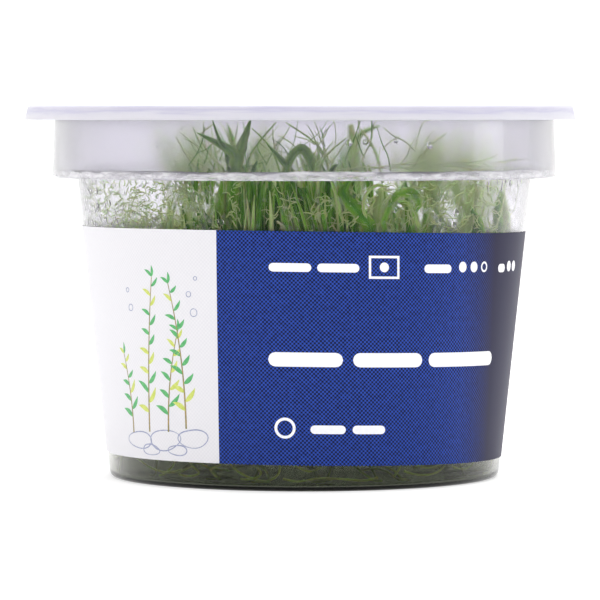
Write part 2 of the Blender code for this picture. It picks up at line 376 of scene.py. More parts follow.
@dataclass(frozen=True)
class PrintedInk:
    """Flexographic ink on the film, which gives the eye a flat tone with the slight mottle of ink."""

    name: str
    colours: tuple[str, str]
    grain_mm: float = 0.5

    def material(self) -> Material:
        """Builds the material.

        Returns:
            the material.
        """
        material, tree, shader = new_finish(self.name, {"Roughness": 0.4})
        place = add(tree, "ShaderNodeTexCoord", out="Object")
        noise = add(tree, NOISE, {"Vector": place, "Scale": 1 / (self.grain_mm * MM), "Detail": 3.0})
        stops = ((0.3, self.colours[0]), (0.7, self.colours[1]))
        colour = add(tree, RAMP, {"Fac": noise}, stops, out="Color")
        tree.links.new(colour, shader.inputs["Base Color"])
        return material


@dataclass(frozen=True)
class Greenery:
    """Wet living leaf and stem.

    It gives the eye a soft green that glows where light passes through, paler rims, fine upright veins, and
    the gloss of a wet skin.
    """

    name: str
    stops: tuple[str, ...] = ("#356f14", "#5a9c22", "#94cc44", "#d8eca0")
    vein_mm: float = 0.22
    blotch_mm: float = 1.6
    vein_height_mm: float = 0.04
    glow_mm: float = 0.2

    def material(self) -> Material:
        """Builds the material. The tone of each leaf and the place across it are attributes of the mesh.

        Returns:
            the material.
        """
        material, tree, shader = new_finish(
            self.name,
            {
                "Roughness": 0.32,
                "Specular IOR Level": 0.22,
                "Subsurface Weight": 0.5,
                "Subsurface Radius": (0.5, 1.0, 0.15),
                "Subsurface Scale": self.glow_mm * MM,
            },
        )
        place = add(tree, "ShaderNodeTexCoord", out="Object")
        level = add(tree, "ShaderNodeAttribute", attribute_name="tone", out="Fac")
        blotches = add(tree, NOISE, {"Vector": place, "Scale": 1 / (self.blotch_mm * MM), "Detail": 3.0})
        upright = add(tree, "ShaderNodeMapping", {"Vector": place, "Scale": (1.0, 1.0, 0.08)})
        veins = add(tree, NOISE, {"Vector": upright, "Scale": 1 / (self.vein_mm * MM)})
        rim = add(tree, "ShaderNodeAttribute", attribute_name="rim", out="Fac")
        for part, share in ((rim, 0.55), (blotches, 0.5), (veins, 0.35)):
            level = add(tree, MATH, (part, share, level), operation="MULTIPLY_ADD")
        level = add(tree, RANGE, (level, 0.3, 1.45))
        stops = tuple((k / (len(self.stops) - 1), code) for k, code in enumerate(self.stops))
        colour = add(tree, RAMP, {"Fac": level}, stops, out="Color")
        tree.links.new(colour, shader.inputs["Base Color"])
        ribs = {"Height": veins, "Distance": self.vein_height_mm * MM, "Strength": 0.6}
        tree.links.new(add(tree, "ShaderNodeBump", ribs, out="Normal"), shader.inputs["Normal"])
        return material


def rounded(profile: Profile, steps: int = 4) -> list[Flat]:
    """Rounds the corners of a profile, with a close row beside each so that the flats between shade flat.

    Args:
        profile: radius, height and corner size of each point.
        steps: segments for each rounded corner.

    Returns:
        the points of the rounded profile.
    """
    most_of_side, row_of_side, widest_row = 0.42, 0.04, 0.15
    points = []
    for k, (r, z, size) in enumerate(profile):
        here = Vector((r, z))
        if not size or k in (0, len(profile) - 1):
            points.append((r, z))
            continue
        ways = [Vector(profile[n][:2]) - here for n in (k - 1, k + 1)]
        rows = [min(widest_row, way.length * row_of_side) for way in ways]
        reaches = [min(size, way.length * most_of_side) for way in ways]
        ways = [way.normalized() for way in ways]
        start, end = (here + way * reach for way, reach in zip(ways, reaches))
        points.append(tuple(start + ways[0] * rows[0]))
        for step in range(steps + 1):
            t = step / steps
            points.append(tuple(start * (1 - t) ** 2 + here * 2 * t * (1 - t) + end * t * t))
        points.append(tuple(end + ways[1] * rows[1]))
    return points


def around(radius: float, angle: float, z: float) -> Point:
    """The point at a radius, an angle from -Y towards +X and a height."""
    return radius * math.sin(angle), -radius * math.cos(angle), z


def spline(knots: list[Vector], steps: int) -> list[Vector]:
    """Draws a smooth line through knots, up to just before the last of them.

    Args:
        knots: the places that it passes.
        steps: points for each span between two of them.

    Returns:
        the points in order.
    """
    points = []
    for k in range(len(knots) - 1):
        p0, p1 = knots[max(0, k - 1)], knots[k]
        p2, p3 = knots[k + 1], knots[min(len(knots) - 1, k + 2)]
        square = 2 * p0 - 5 * p1 + 4 * p2 - p3
        cube = 3 * p1 - p0 - 3 * p2 + p3
        for step in range(steps):
            t = step / steps
            points.append(0.5 * (2 * p1 + (p2 - p0) * t + square * t**2 + cube * t**3))
    return points


@dataclass
class Shell:
    """The points, in millimetres, edges and faces of a surface that is being built."""

    verts: list = field(default_factory=list)
    edges: list = field(default_factory=list)
    faces: list = field(default_factory=list)

    def ring(self, points: list) -> int:
        """Adds points, and gives the number of the first."""
        self.verts += [tuple(point) for point in points]
        return len(self.verts) - len(points)

    def bridge(self, rings: list[int], sides: int, capped: bool = True) -> None:
        """Joins rings of points to a sleeve.

        Args:
            rings: the number of each ring's first point.
            sides: points in a ring.
            capped: whether both ends are closed.
        """
        for a, b in zip(rings, rings[1:]):
            for k in range(sides):
                n = (k + 1) % sides
                self.faces.append((a + k, a + n, b + n, b + k))
        if capped:
            self.faces.append(tuple(rings[0] + k for k in reversed(range(sides))))
            self.faces.append(tuple(rings[-1] + k for k in range(sides)))

    def mesh(self, name: str, unit: float = MM) -> bpy.types.Mesh:
        """Makes a mesh.

        Args:
            name: the mesh's name.
            unit: what a point's numbers are multiplied by.

        Returns:
            the mesh.
        """
        mesh = bpy.data.meshes.new(name)
        mesh.from_pydata([(x * unit, y * unit, z * unit) for x, y, z in self.verts], self.edges, self.faces)
        return mesh

    def piece(self, name: str, materials: list[Material], smooth: bool = True) -> Object:
        """Makes an object with its faces pointing outwards.

        Args:
            name: the piece's name.
            materials: the material slots.
            smooth: whether faces are shaded smooth.

        Returns:
            the object, linked to the scene.
        """
        mesh = self.mesh(name)
        bm = bmesh.new()
        bm.from_mesh(mesh)
        bmesh.ops.recalc_face_normals(bm, faces=bm.faces)
        bm.to_mesh(mesh)
        bm.free()
        if smooth:
            mesh.shade_smooth()
        for material in materials:
            mesh.materials.append(material)
        return link(name, mesh)


def link(name: str, data: bpy.types.ID) -> Object:
    """Puts a mesh, light or camera into the scene.

    Args:
        name: the object's name.
        data: what it shows.

    Returns:
        the object.
    """
    obj = bpy.data.objects.new(name, data)
    bpy.context.scene.collection.objects.link(obj)
    return obj


def lathe(points: list[Flat], steps: int) -> Shell:
    """Spins a profile that runs from axis to axis.

    Args:
        points: radius and height of each point.
        steps: segments round the axis.

    Returns:
        the surface.
    """
    shell = Shell()
    rings: list[list[int]] = []
    turns = [math.tau * k / steps for k in range(steps)]
    for r, z in points:
        if r < ON_AXIS:
            rings.append([shell.ring([(0.0, 0.0, z)])] * steps)
            continue
        start = shell.ring([(r * math.cos(turn), r * math.sin(turn), z) for turn in turns])
        rings.append(list(range(start, start + steps)))
    for low, high in zip(rings, rings[1:]):
        for k in range(steps):
            n = (k + 1) % steps
            corners = dict.fromkeys((low[k], low[n], high[n], high[k]))
            if len(corners) > 2:
                shell.faces.append(tuple(corners))
    return shell


def finish_piece(obj: Object, replaced: str | None = None) -> None:
    """Hangs a finished piece on the body.

    Args:
        obj: the piece.
        replaced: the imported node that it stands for, if any.
    """
    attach(obj, BODY)
    if replaced:
        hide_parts(replaced)
    LOG.info("%s: %d faces", obj.name, len(obj.data.polygons))


def new_tree(name: str, inputs: dict[str, str], result: str) -> tuple[Tree, bpy.types.bpy_prop_collection]:
    """Starts a geometry node tree with named inputs and one geometry output.

    Args:
        name: the tree's name.
        inputs: the name and kind of each input, in order.
        result: the output's name.

    Returns:
        the tree and the sockets that its inputs arrive at.
    """
    tree = bpy.data.node_groups.new(name, "GeometryNodeTree")
    for title, kind in inputs.items():
        tree.interface.new_socket(title, in_out="INPUT", socket_type=f"NodeSocket{kind}")
    tree.interface.new_socket(result, in_out="OUTPUT", socket_type="NodeSocketGeometry")
    return tree, add(tree, "NodeGroupInput").node.outputs


def grown(obj: Object, tree: Tree, values: dict[str, object], name: str) -> Object:
    """Runs a node tree on an object, and puts the result as a plain mesh in its place.

    Args:
        obj: the object that the tree starts from.
        tree: the node tree.
        values: the value of each named input.
        name: the name of the result.

    Returns:
        the plain object, linked to the scene.
    """
    modifier = obj.modifiers.new(tree.name, "NODES")
    modifier.node_group = tree
    for item in tree.interface.items_tree:
        if item.in_out == "INPUT" and item.name in values:
            modifier[item.identifier] = values[item.name]
    graph = bpy.context.evaluated_depsgraph_get()
    mesh = bpy.data.meshes.new_from_object(obj.evaluated_get(graph), depsgraph=graph)
    mesh.name = name
    bpy.data.objects.remove(obj, do_unlink=True)
    return link(name, mesh)


def discard(shapes: bpy.types.Collection) -> None:
    """Removes the shapes that a node tree has picked from.

    Args:
        shapes: the collection that holds them.
    """
    for obj in list(shapes.objects):
        bpy.data.objects.remove(obj, do_unlink=True)
    bpy.data.collections.remove(shapes)


@dataclass
class Cup:
    """The clear cup: floor, tapered wall, shoulder, neck, rim flange and hanging skirt."""

    foot_radius: float = 35.3
    taper: float = 0.106
    wall: float = 0.8
    floor_top: float = 0.85
    gel_foot: float = 4.6
    misted_from: float = 12.0
    shoulder: float = 55.0
    shelf: float = 0.4
    hazy_below: float = 0.9
    frost_line: float = 55.6
    neck_radius: float = 43.5
    rim: float = 65.9
    flange: float = 0.9
    flange_radius: float = 47.5
    skirt_bottom: float = 54.2
    skirt_top_radius: float = 45.2
    skirt_bottom_radius: float = 45.6
    skirt_thickness: float = 0.75
    facets: int = 192

    def outside(self, z: float) -> float:
        """Outside radius of the tapered wall at a height."""
        return self.foot_radius + self.taper * z

    def inside(self, z: float) -> float:
        """Finds the inside radius of the cup, with the step of the shoulder.

        Args:
            z: the height.

        Returns:
            the radius at that height.
        """
        if z > self.shoulder + self.shelf + 0.5:
            return self.neck_radius - self.wall
        return self.outside(min(z, self.shoulder)) - self.wall

    def profile(self) -> Profile:
        """Draws the wall.

        Returns:
            radius, height and corner size of each point, from under the foot to the top of the floor.
        """
        top = self.shoulder + self.shelf
        neck_in = self.neck_radius - self.wall
        flange = self.rim - self.flange
        return [
            (0.0, 0.25, 0.0),
            (30.95, 0.25, 0.15),
            (31.2, 0.0, 0.1),
            (self.outside(0), 0.0, 1.2),
            (self.outside(self.gel_foot), self.gel_foot, 0.0),
            (self.outside(self.shoulder), self.shoulder, 0.7),
            (self.neck_radius, self.shoulder, 0.35),
            (self.neck_radius, flange, 0.3),
            (self.skirt_top_radius - self.skirt_thickness, flange, 0.3),
            (self.skirt_bottom_radius - self.skirt_thickness, self.skirt_bottom, 0.2),
            (self.skirt_bottom_radius, self.skirt_bottom, 0.45),
            (self.skirt_top_radius, flange, 0.3),
            (self.flange_radius, flange, 0.3),
            (self.flange_radius, self.rim, 0.3),
            (neck_in, self.rim, 0.3),
            (neck_in, top, 0.2),
            (self.outside(top) - self.wall, top, 0.35),
            (self.outside(self.misted_from) - self.wall, self.misted_from, 0.0),
            (self.outside(self.floor_top) - self.wall, self.floor_top, 0.6),
            (0.0, self.floor_top, 0.0),
        ]

    def build(self) -> None:
        """Builds the cup: clear below the shoulder, milky above it, and darkened in the foot by painted
        shade.
        """
        plastics = [
            # Clear wall: shows the leaves sharp where they touch it.
            Moulding("clear_moulded_polypropylene", "#f1f0f4", 1.0, 0.06),
            # Inner face with fine dew: a dull bloom in patches.
            Moulding("misted_inner_polypropylene", "#f1f0f4", 1.0, 0.1, mist_mm=1.5),
            # Neck and skirt: a thin milky haze that whitens along the bend of the shoulder.
            Moulding("hazy_moulded_polypropylene", "#f8f7fb", 0.97, 0.12, frost_mm=self.frost_line),
            # Floor under the gel: painted dark as painted shade, because little light comes back from below.
            Moulding("gel_backed_polypropylene", "#33372d", 1.0, 0.08),
            # Wall of the foot: a grey-green tint from the gel that wets it.
            Moulding("gel_wetted_polypropylene", "#c2c3ba", 1.0, 0.06),
        ]
        shell = lathe(rounded(self.profile(), 5), self.facets)
        cup = shell.piece("clear_cup", [plastic.material() for plastic in plastics])
        clear, milky, shaded_floor, wetted = 0, 2, 3, 4
        for face in cup.data.polygons:
            radius = math.hypot(face.center.x, face.center.y) / MM
            z = face.center.z / MM
            middle = self.outside(z) - self.wall / 2
            misted = z > self.misted_from and radius < middle
            face.material_index = clear + misted
            if z > self.shoulder - self.hazy_below:
                face.material_index = milky
            if z < self.gel_foot and radius > middle:
                face.material_index = wetted
            # The floor and the foot under it take the painted shade.
            if z < self.floor_top + 0.05:
                face.material_index = shaded_floor
        finish_piece(cup, "cup")


@dataclass
class Lid:
    """The press-fit lid: sunk panel with a stacking ring, plug, flared brim and pull tab."""

    top: float = 67.1
    thickness: float = 0.9
    brim_bottom: float = 64.6
    brim_top_radius: float = 48.6
    brim_bottom_radius: float = 49.2
    lip: float = 0.6
    plug_radius: float = 42.3
    plug_bottom: float = 64.85
    panel_top: float = 66.1
    panel_under: float = 65.3
    ring_radius: float = 36.8
    thin_radius: float = 41.0
    tab_from: float = 47.2
    tab_blend: float = 0.8
    tab_reach: float = 1.45
    tab_half_angle: float = math.radians(17)
    facets: int = 192

    def profile(self) -> Profile:
        """Draws the lid.

        Returns:
            radius, height and corner size of each point, from under the panel to its top.
        """
        under = self.top - self.thickness
        inner = self.plug_radius - 0.8
        return [
            (0.0, self.panel_under, 0.0),
            (inner, self.panel_under, 0.3),
            (inner, self.plug_bottom, 0.35),
            (self.plug_radius, self.plug_bottom, 0.35),
            (self.plug_radius, under, 0.4),
            (self.brim_top_radius - self.lip, under, 0.5),
            (self.brim_bottom_radius - self.lip, self.brim_bottom, 0.2),
            (self.brim_bottom_radius, self.brim_bottom, 0.25),
            (self.brim_top_radius, self.top, 0.4),
            (41.7, self.top, 0.35),
            (41.2, self.panel_top, 0.3),
            (self.ring_radius + 0.6, self.panel_top, 0.25),
            (self.ring_radius + 0.3, self.panel_top + 0.5, 0.2),
            (self.ring_radius - 0.3, self.panel_top + 0.5, 0.2),
            (self.ring_radius - 0.6, self.panel_top, 0.25),
            (2.4, self.panel_top, 0.2),
            (2.0, self.panel_top - 0.2, 0.2),
            (0.0, self.panel_top - 0.2, 0.0),
        ]

    def build(self) -> None:
        """Builds the lid and draws its brim out into the tab."""
        shell = lathe(rounded(self.profile()), self.facets)
        for k, (x, y, z) in enumerate(shell.verts):
            radius = math.hypot(x, y)
            turn = abs(math.atan2(y, -x))
            if radius > self.tab_from and turn < self.tab_half_angle:
                share = math.cos(turn / self.tab_half_angle * math.pi / 2) ** 0.8
                blend = min(1.0, (radius - self.tab_from) / self.tab_blend)
                stretch = 1.0 + self.tab_reach * share * blend / radius
                shell.verts[k] = (x * stretch, y * stretch, z)
        # The brim's tones are painted light: a darker upper band of painted shade between lighter bands.
        tones = ("#f2f1f7", "#edecf5", "#dad8eb", "#e4e2f0", "#e9e8f3")
        painted_shade_bands = tuple(zip((64.6, 65.6, 66.25, 66.6, 67.1), tones))
        # Brim: milky, with painted shade in a darker upper band and painted glints in level streaks. Panel:
        # thin, so that light and the leaves under it come through.
        milky = Moulding("milky_moulded_polypropylene", "#dfddec", 0.42, 0.3, ripple_mm=9.0, painted_shade_bands=painted_shade_bands)
        thin = Moulding("thin_milky_polypropylene", "#f4f3fa", 0.8, 0.5)
        lid = shell.piece("press_fit_lid", [milky.material(), thin.material()])
        for face in lid.data.polygons:
            face.material_index = int(math.hypot(face.center.x, face.center.y) < self.thin_radius * MM)
        finish_piece(lid, "lid")


@dataclass
class Label:
    """The label film on the tapered wall, with a white panel, a blue panel and generic marks."""

    cup: Cup
    bottom: float = 4.67
    top: float = 45.47
    lift: float = 0.04
    thickness: float = 0.12
    open_half_angle: float = math.radians(10)
    edge_degrees: float = -24.3
    edge_lean_degrees: float = 2.1
    skew: float = 0.0135
    sag: float = 0.48
    columns: int = 180
    white_columns: int = 77
    rows: int = 12

    def edge_angle(self, z: float) -> float:
        """Angle of the line between the white and the blue panel at a height."""
        share = (z - self.bottom) / (self.top - self.bottom)
        return math.radians(self.edge_degrees + self.edge_lean_degrees * share)

    def radius(self, z: float) -> float:
        """Radius of the printed face at a height."""
        return self.cup.outside(z) + self.lift + self.thickness

    def place(self, along: float, z: float, proud: float = 0.0) -> Vector:
        """Finds the point of the printed face at a flat position.

        Args:
            along: millimetres to the right of the line between the panels.
            z: height on the level label, before its skew.
            proud: how far off the face.

        Returns:
            the point in millimetres.
        """
        return self.wrap(self.edge_angle(z) + along / self.radius(z), z, self.radius(z) + proud)

    def wrap(self, angle: float, z: float, radius: float) -> Vector:
        """Puts a point of the level label on the skewed, slightly sagging one.

        Args:
            angle: the point's angle round the cup.
            z: its height on the level label.
            radius: its distance from the axis.

        Returns:
            the point in millimetres.
        """
        drop = self.skew * radius * math.sin(angle) + self.sag * math.sin(angle) ** 2
        return Vector(around(radius - self.cup.taper * drop, angle, z - drop))

    def build(self) -> None:
        """Builds the film in two panels, each column going up its face and down its back."""
        shell = Shell()
        flat: list[Flat] = []
        panels: list[int] = []
        start, end = self.open_half_angle - math.pi, math.pi - self.open_half_angle
        for k in range(self.columns + 1):
            for row in range(2 * (self.rows + 1)):
                outer = row <= self.rows
                level = row if outer else 2 * self.rows + 1 - row
                z = self.bottom + (self.top - self.bottom) * level / self.rows
                edge = self.edge_angle(z)
                if k <= self.white_columns:
                    angle = start + (edge - start) * k / self.white_columns
                else:
                    blue = (k - self.white_columns) / (self.columns - self.white_columns)
                    angle = edge + (end - edge) * blue
                radius = self.radius(z) - (0.0 if outer else self.thickness)
                shell.ring([self.wrap(angle, z, radius)])
                flat.append(((angle - edge) * self.radius(z), z))
        size = 2 * (self.rows + 1)
        for k in range(self.columns):
            for row in range(size):
                a, n = k * size + row, k * size + (row + 1) % size
                shell.faces.append((a, a + size, n + size, n))
                panels.append(int(k >= self.white_columns and row <= self.rows))
        for ring, panel in ((0, 0), (self.columns * size, 1)):
            for row in range(self.rows):
                last = ring + size - 1 - row
                shell.faces.append((ring + row, ring + row + 1, last - 1, last))
                panels.append(panel)
        white = Film("white_polypropylene_film", ("#dddce1", "#e3e2e6"), 0.45)
        # The blue's dark purple right end is painted shade.
        blue = Film("screen_printed_blue_film", ("#00021e", "#2a4db0"), 0.45, shade_end_colour="#19173a")
        label = shell.piece("wrap_label", [white.material(), blue.material()])
        for face, panel in zip(label.data.polygons, panels):
            face.material_index = panel
        layer = label.data.uv_layers.new(name="flat_mm")
        for loop in label.data.loops:
            layer.data[loop.index].uv = flat[loop.vertex_index]
        label.data.set_sharp_from_angle(angle=math.radians(40))
        finish_piece(label, "label")


@dataclass
class Artwork:
    """The marks on the label: plain bars, rings and dots, and a loose drawing of broad-leaved sprigs."""

    label: Label
    depth: float = 0.03
    proud: float = 0.02
    strips: dict[Ink, list] = field(default_factory=dict)

    def strip(self, ink: Ink, path: list[Flat], widths: list[float]) -> None:
        """Adds one printed stroke.

        Args:
            ink: what it is printed with.
            path: flat positions along its middle.
            widths: full width at each of them.
        """
        self.strips.setdefault(ink, []).append((path, widths))

    def bar(self, left: float, right: float, z: float, height: float) -> None:
        """Adds a plain white bar with rounded ends.

        Args:
            left: where it starts.
            right: where it ends.
            z: its middle's height.
            height: how tall it is.
        """
        steps = max(6, int((right - left) / 0.8))
        inner = [left + height * 0.5 + (right - left - height) * k / steps for k in range(steps + 1)]
        ends = [0.0, 0.13, 0.3, 0.6]
        starts = [left + height * 0.5 * e for e in ends]
        path = starts + inner + [right - height * 0.5 * e for e in reversed(ends)]
        shape = [height * math.sqrt(max(0.003, 1 - (1 - e) ** 2)) for e in ends]
        widths = shape + [height] * len(inner) + shape[::-1]
        self.strip(Ink.WHITE, [(x, z) for x in path], widths)

    def ring(self, ink: Ink, x: float, z: float, size: float, line: float) -> None:
        """Adds a thin ring, drawn as one closed stroke.

        Args:
            ink: what it is printed with.
            x: its middle's place along the label.
            z: its middle's height.
            size: how wide it is outside.
            line: the stroke's width.
        """
        steps = 28
        radius = (size - line) / 2
        turns = [math.tau * k / steps for k in range(steps + 1)]
        path = [(x + radius * math.cos(turn), z + radius * math.sin(turn)) for turn in turns]
        self.strip(ink, path, [line] * len(path))

    def disc(self, x: float, z: float, size: float) -> None:
        """Adds a filled white dot.

        Args:
            x: its middle's place along the label.
            z: its middle's height.
            size: how wide it is.
        """
        steps = 14
        turns = [math.pi * k / steps for k in range(steps + 1)]
        path = [(x - size / 2 * math.cos(t), z) for t in turns]
        self.strip(Ink.WHITE, path, [max(0.02, size * math.sin(t)) for t in turns])

    def frame(self, left: float, right: float, low: float, high: float, line: float) -> None:
        """Adds a square outline from four white strokes.

        Args:
            left: its left side.
            right: its right side.
            low: its lower side.
            high: its upper side.
            line: the stroke's width.
        """
        for z in (low, high):
            steps = 8
            path = [(left + (right - left) * k / steps, z) for k in range(steps + 1)]
            self.strip(Ink.WHITE, path, [line] * len(path))
        for x in (left + line / 2, right - line / 2):
            self.strip(Ink.WHITE, [(x, low), (x, high)], [line, line])

    def leaf(self, ink: Ink, root: Flat, turn: float, length: float, width: float) -> None:
        """Adds a pointed oval leaf.

        Args:
            ink: what it is printed with.
            root: where it grows from.
            turn: the way it points.
            length: how long it is.
            width: how wide it is.
        """
        steps = 8
        path = []
        widths = []
        for k in range(steps + 1):
            t = k / steps
            bend = turn + 0.35 * (t - 0.5)
            path.append((root[0] + length * t * math.cos(bend), root[1] + length * t * math.sin(bend)))
            widths.append(max(0.03, width * math.sin(math.pi * t) ** 0.8 * (1.1 - 0.5 * t)))
        self.strip(ink, path, widths)

    def sprig(self, root: Flat, height: float, lean: float, pairs: int, seed: int) -> None:
        """Adds a stem with broad leaves that sit singly, left and right in turn.

        Args:
            root: where it grows from.
            height: how tall it is.
            lean: how far its top stands to the right of its root.
            pairs: how many leaves each side has.
            seed: the start of its random numbers.
        """
        rng = random.Random(seed)
        steps = pairs * 2
        shares = [k / steps for k in range(steps + 1)]
        path = [(root[0] + lean * t * t, root[1] + height * t) for t in shares]
        self.strip(Ink.STEM, path, [0.34 - 0.2 * k / steps for k in range(steps + 1)])
        for k in range(2, steps + 1):
            t = shares[k]
            side = 1 if k % 2 else -1
            lengths = 3.6 * (1 - 0.45 * t) * rng.uniform(0.85, 1.1)
            turn = math.pi / 2 - side * rng.uniform(0.7, 1.05) - 0.3 * lean / height
            ink = Ink.LIME if rng.random() < 0.45 - 0.3 * t + 0.1 else Ink.LEAF
            self.leaf(ink, path[k], turn, lengths, 1.15 * (1 - 0.4 * t))
        self.leaf(Ink.LEAF, path[-1], math.pi / 2 - 0.15, 2.0, 0.7)

    def pebble(self, x: float, z: float, width: float, height: float, seed: int) -> None:
        """Adds the outline of a rounded stone.

        Args:
            x: its middle's place along the label.
            z: its middle's height.
            width: how wide it is.
            height: how tall it is.
            seed: the start of its random numbers.
        """
        wobble = random.Random(seed).uniform(0, math.tau)
        steps = 30
        path = []
        widths = []
        for k in range(steps + 1):
            turn = math.tau * k / steps
            swell = 1 + 0.07 * math.sin(2 * turn + wobble) + 0.05 * math.sin(3 * turn - wobble)
            path.append((x + width / 2 * swell * math.cos(turn), z + height / 2 * swell * math.sin(turn)))
            widths.append(0.12 + 0.1 * abs(math.sin(0.5 * math.tau * k / steps + wobble)))
        self.strip(Ink.LINE, path, widths)

    def draw_blue_panel(self) -> None:
        """Lays out the plain marks of the blue panel: three rows in front, and a block of bars behind."""
        for left, right in ((9.4, 16.8), (17.8, 25.2)):
            self.bar(left, right, 39.2, 1.5)
        self.frame(26.9, 32.6, 37.6, 41.2, 0.42)
        self.disc(29.75, 39.4, 1.7)
        self.bar(37.6, 43.6, 39.2, 1.5)
        for x in (46.4, 49.4):
            self.disc(x, 39.5, 1.9)
        self.ring(Ink.WHITE, 52.4, 39.5, 1.9, 0.34)
        self.bar(57.3, 60.0, 39.2, 1.5)
        for x in (62.0, 64.6):
            self.disc(x, 39.5, 1.9)
        for left, right in ((9.2, 22.2), (24.0, 37.2), (38.6, 56.2)):
            self.bar(left, right, 23.2, 2.5)
        self.ring(Ink.WHITE, 12.0, 11.2, 3.7, 0.5)
        for left, right in ((16.4, 22.6), (23.8, 29.8)):
            self.bar(left, right, 11.0, 1.5)
        for row, length in enumerate((24.0, 21.0, 23.0, 16.0, 22.5, 19.0, 9.0)):
            self.bar(86.0, 86.0 + length, 38.0 - 3.0 * row, 0.8)
        self.frame(88.0, 104.0, 8.0, 13.5, 0.4)

    def draw_white_panel(self) -> None:
        """Lays out the drawing of the white panel."""
        for root, height, lean, pairs, seed in (
            ((-6.6, 10.5), 25.5, -3.4, 8, 3),
            ((-10.6, 9.8), 18.0, 2.6, 6, 5),
            ((-15.4, 9.6), 27.5, 1.6, 8, 8),
            ((-20.2, 9.2), 14.0, -2.2, 5, 11),
        ):
            self.sprig(root, height, lean, pairs, seed)
        for x, z, width, height, seed in (
            (-5.2, 8.8, 6.0, 3.4, 1),
            (-11.6, 8.3, 7.4, 3.6, 2),
            (-18.4, 8.0, 6.6, 3.2, 3),
            (-8.6, 6.6, 4.0, 1.9, 4),
            (-15.2, 6.4, 4.6, 1.8, 5),
        ):
            self.pebble(x, z, width, height, seed)
        for x, z, size in (
            (-4.6, 31.0, 1.5),
            (-5.6, 34.2, 1.1),
            (-4.2, 37.0, 0.8),
            (-19.6, 31.5, 1.3),
            (-20.4, 34.6, 0.9),
        ):
            self.ring(Ink.LINE, x, z, size, 0.13)

    def build(self) -> None:
        """Turns the strokes of each ink into one thin printed piece."""
        self.draw_blue_panel()
        self.draw_white_panel()
        inks = {
            Ink.WHITE: ("#f1f1f6", "#f8f8fb"),
            Ink.LEAF: ("#3c9a5c", "#63b96f"),
            Ink.LIME: ("#b9c84e", "#d3db78"),
            Ink.STEM: ("#6d7440", "#a98a4c"),
            Ink.LINE: ("#7b83a8", "#a9aec8"),
        }
        for ink, strokes in self.strips.items():
            shell = Shell()
            for path, widths in strokes:
                self.solid(path, widths, shell)
            finish = PrintedInk(ink.value, inks[ink]).material()
            finish_piece(shell.piece(f"print_{ink.name.lower()}", [finish], smooth=False))

    def solid(self, path: list[Flat], widths: list[float], shell: Shell) -> None:
        """Adds one stroke as a thin closed solid that follows the label.

        Args:
            path: flat positions along its middle.
            widths: full width at each of them.
            shell: what it joins.
        """
        rings = []
        for k, ((x, z), width) in enumerate(zip(path, widths)):
            before = path[max(0, k - 1)]
            after = path[min(len(path) - 1, k + 1)]
            along = Vector((after[0] - before[0], after[1] - before[1])).normalized()
            side = Vector((-along.y, along.x)) * width / 2
            section = []
            for sign, proud in ((1, self.proud), (-1, self.proud), (-1, -self.depth), (1, -self.depth)):
                section.append(self.label.place(x + sign * side.x, z + sign * side.y, proud))
            rings.append(shell.ring(section))
        shell.bridge(rings, 4, capped=False)
        shell.faces.append(tuple(rings[0] + k for k in range(4)))
        shell.faces.append(tuple(rings[-1] + k for k in (3, 2, 1, 0)))


@dataclass
class Gel:
    """The bed of clear culture gel, with a raised edge at the wall."""

    cup: Cup
    bottom: float = 0.9
    top: float = 10.5
    meniscus: float = 0.6
    gap: float = 0.05
    facets: int = 128

    def build(self) -> None:
        """Builds the gel."""
        edge_z = self.top + self.meniscus
        edge = self.cup.outside(edge_z) - self.cup.wall - self.gap
        foot = self.cup.outside(self.bottom) - self.cup.wall - self.gap
        profile = [
            (0.0, self.bottom, 0.0),
            (foot, self.bottom, 0.55),
            (edge, edge_z, 0.1),
            (edge - 1.3, self.top + 0.12, 0.8),
            (edge - 3.0, self.top, 0.8),
            (0.0, self.top, 0.0),
        ]
        # Clear close by, and grey-green and dark where the eye looks through much of it.
        jelly = Fluid("gellan_culture_gel", "#ffffff", 1.34, 0.02, depth_colour="#8f9a76", density=62.0)
        gel = lathe(rounded(profile, 6), self.facets).piece("culture_gel", [jelly.material()])
        finish_piece(gel, "gel")


def outward(turn: float) -> Vector:
    """The level direction at an angle from +X towards +Y."""
    return Vector((math.cos(turn), math.sin(turn), 0.0))


class Habit(Enum):
    """How a shoot ends."""

    CROWN = "crown"
    HOOK = "hook"


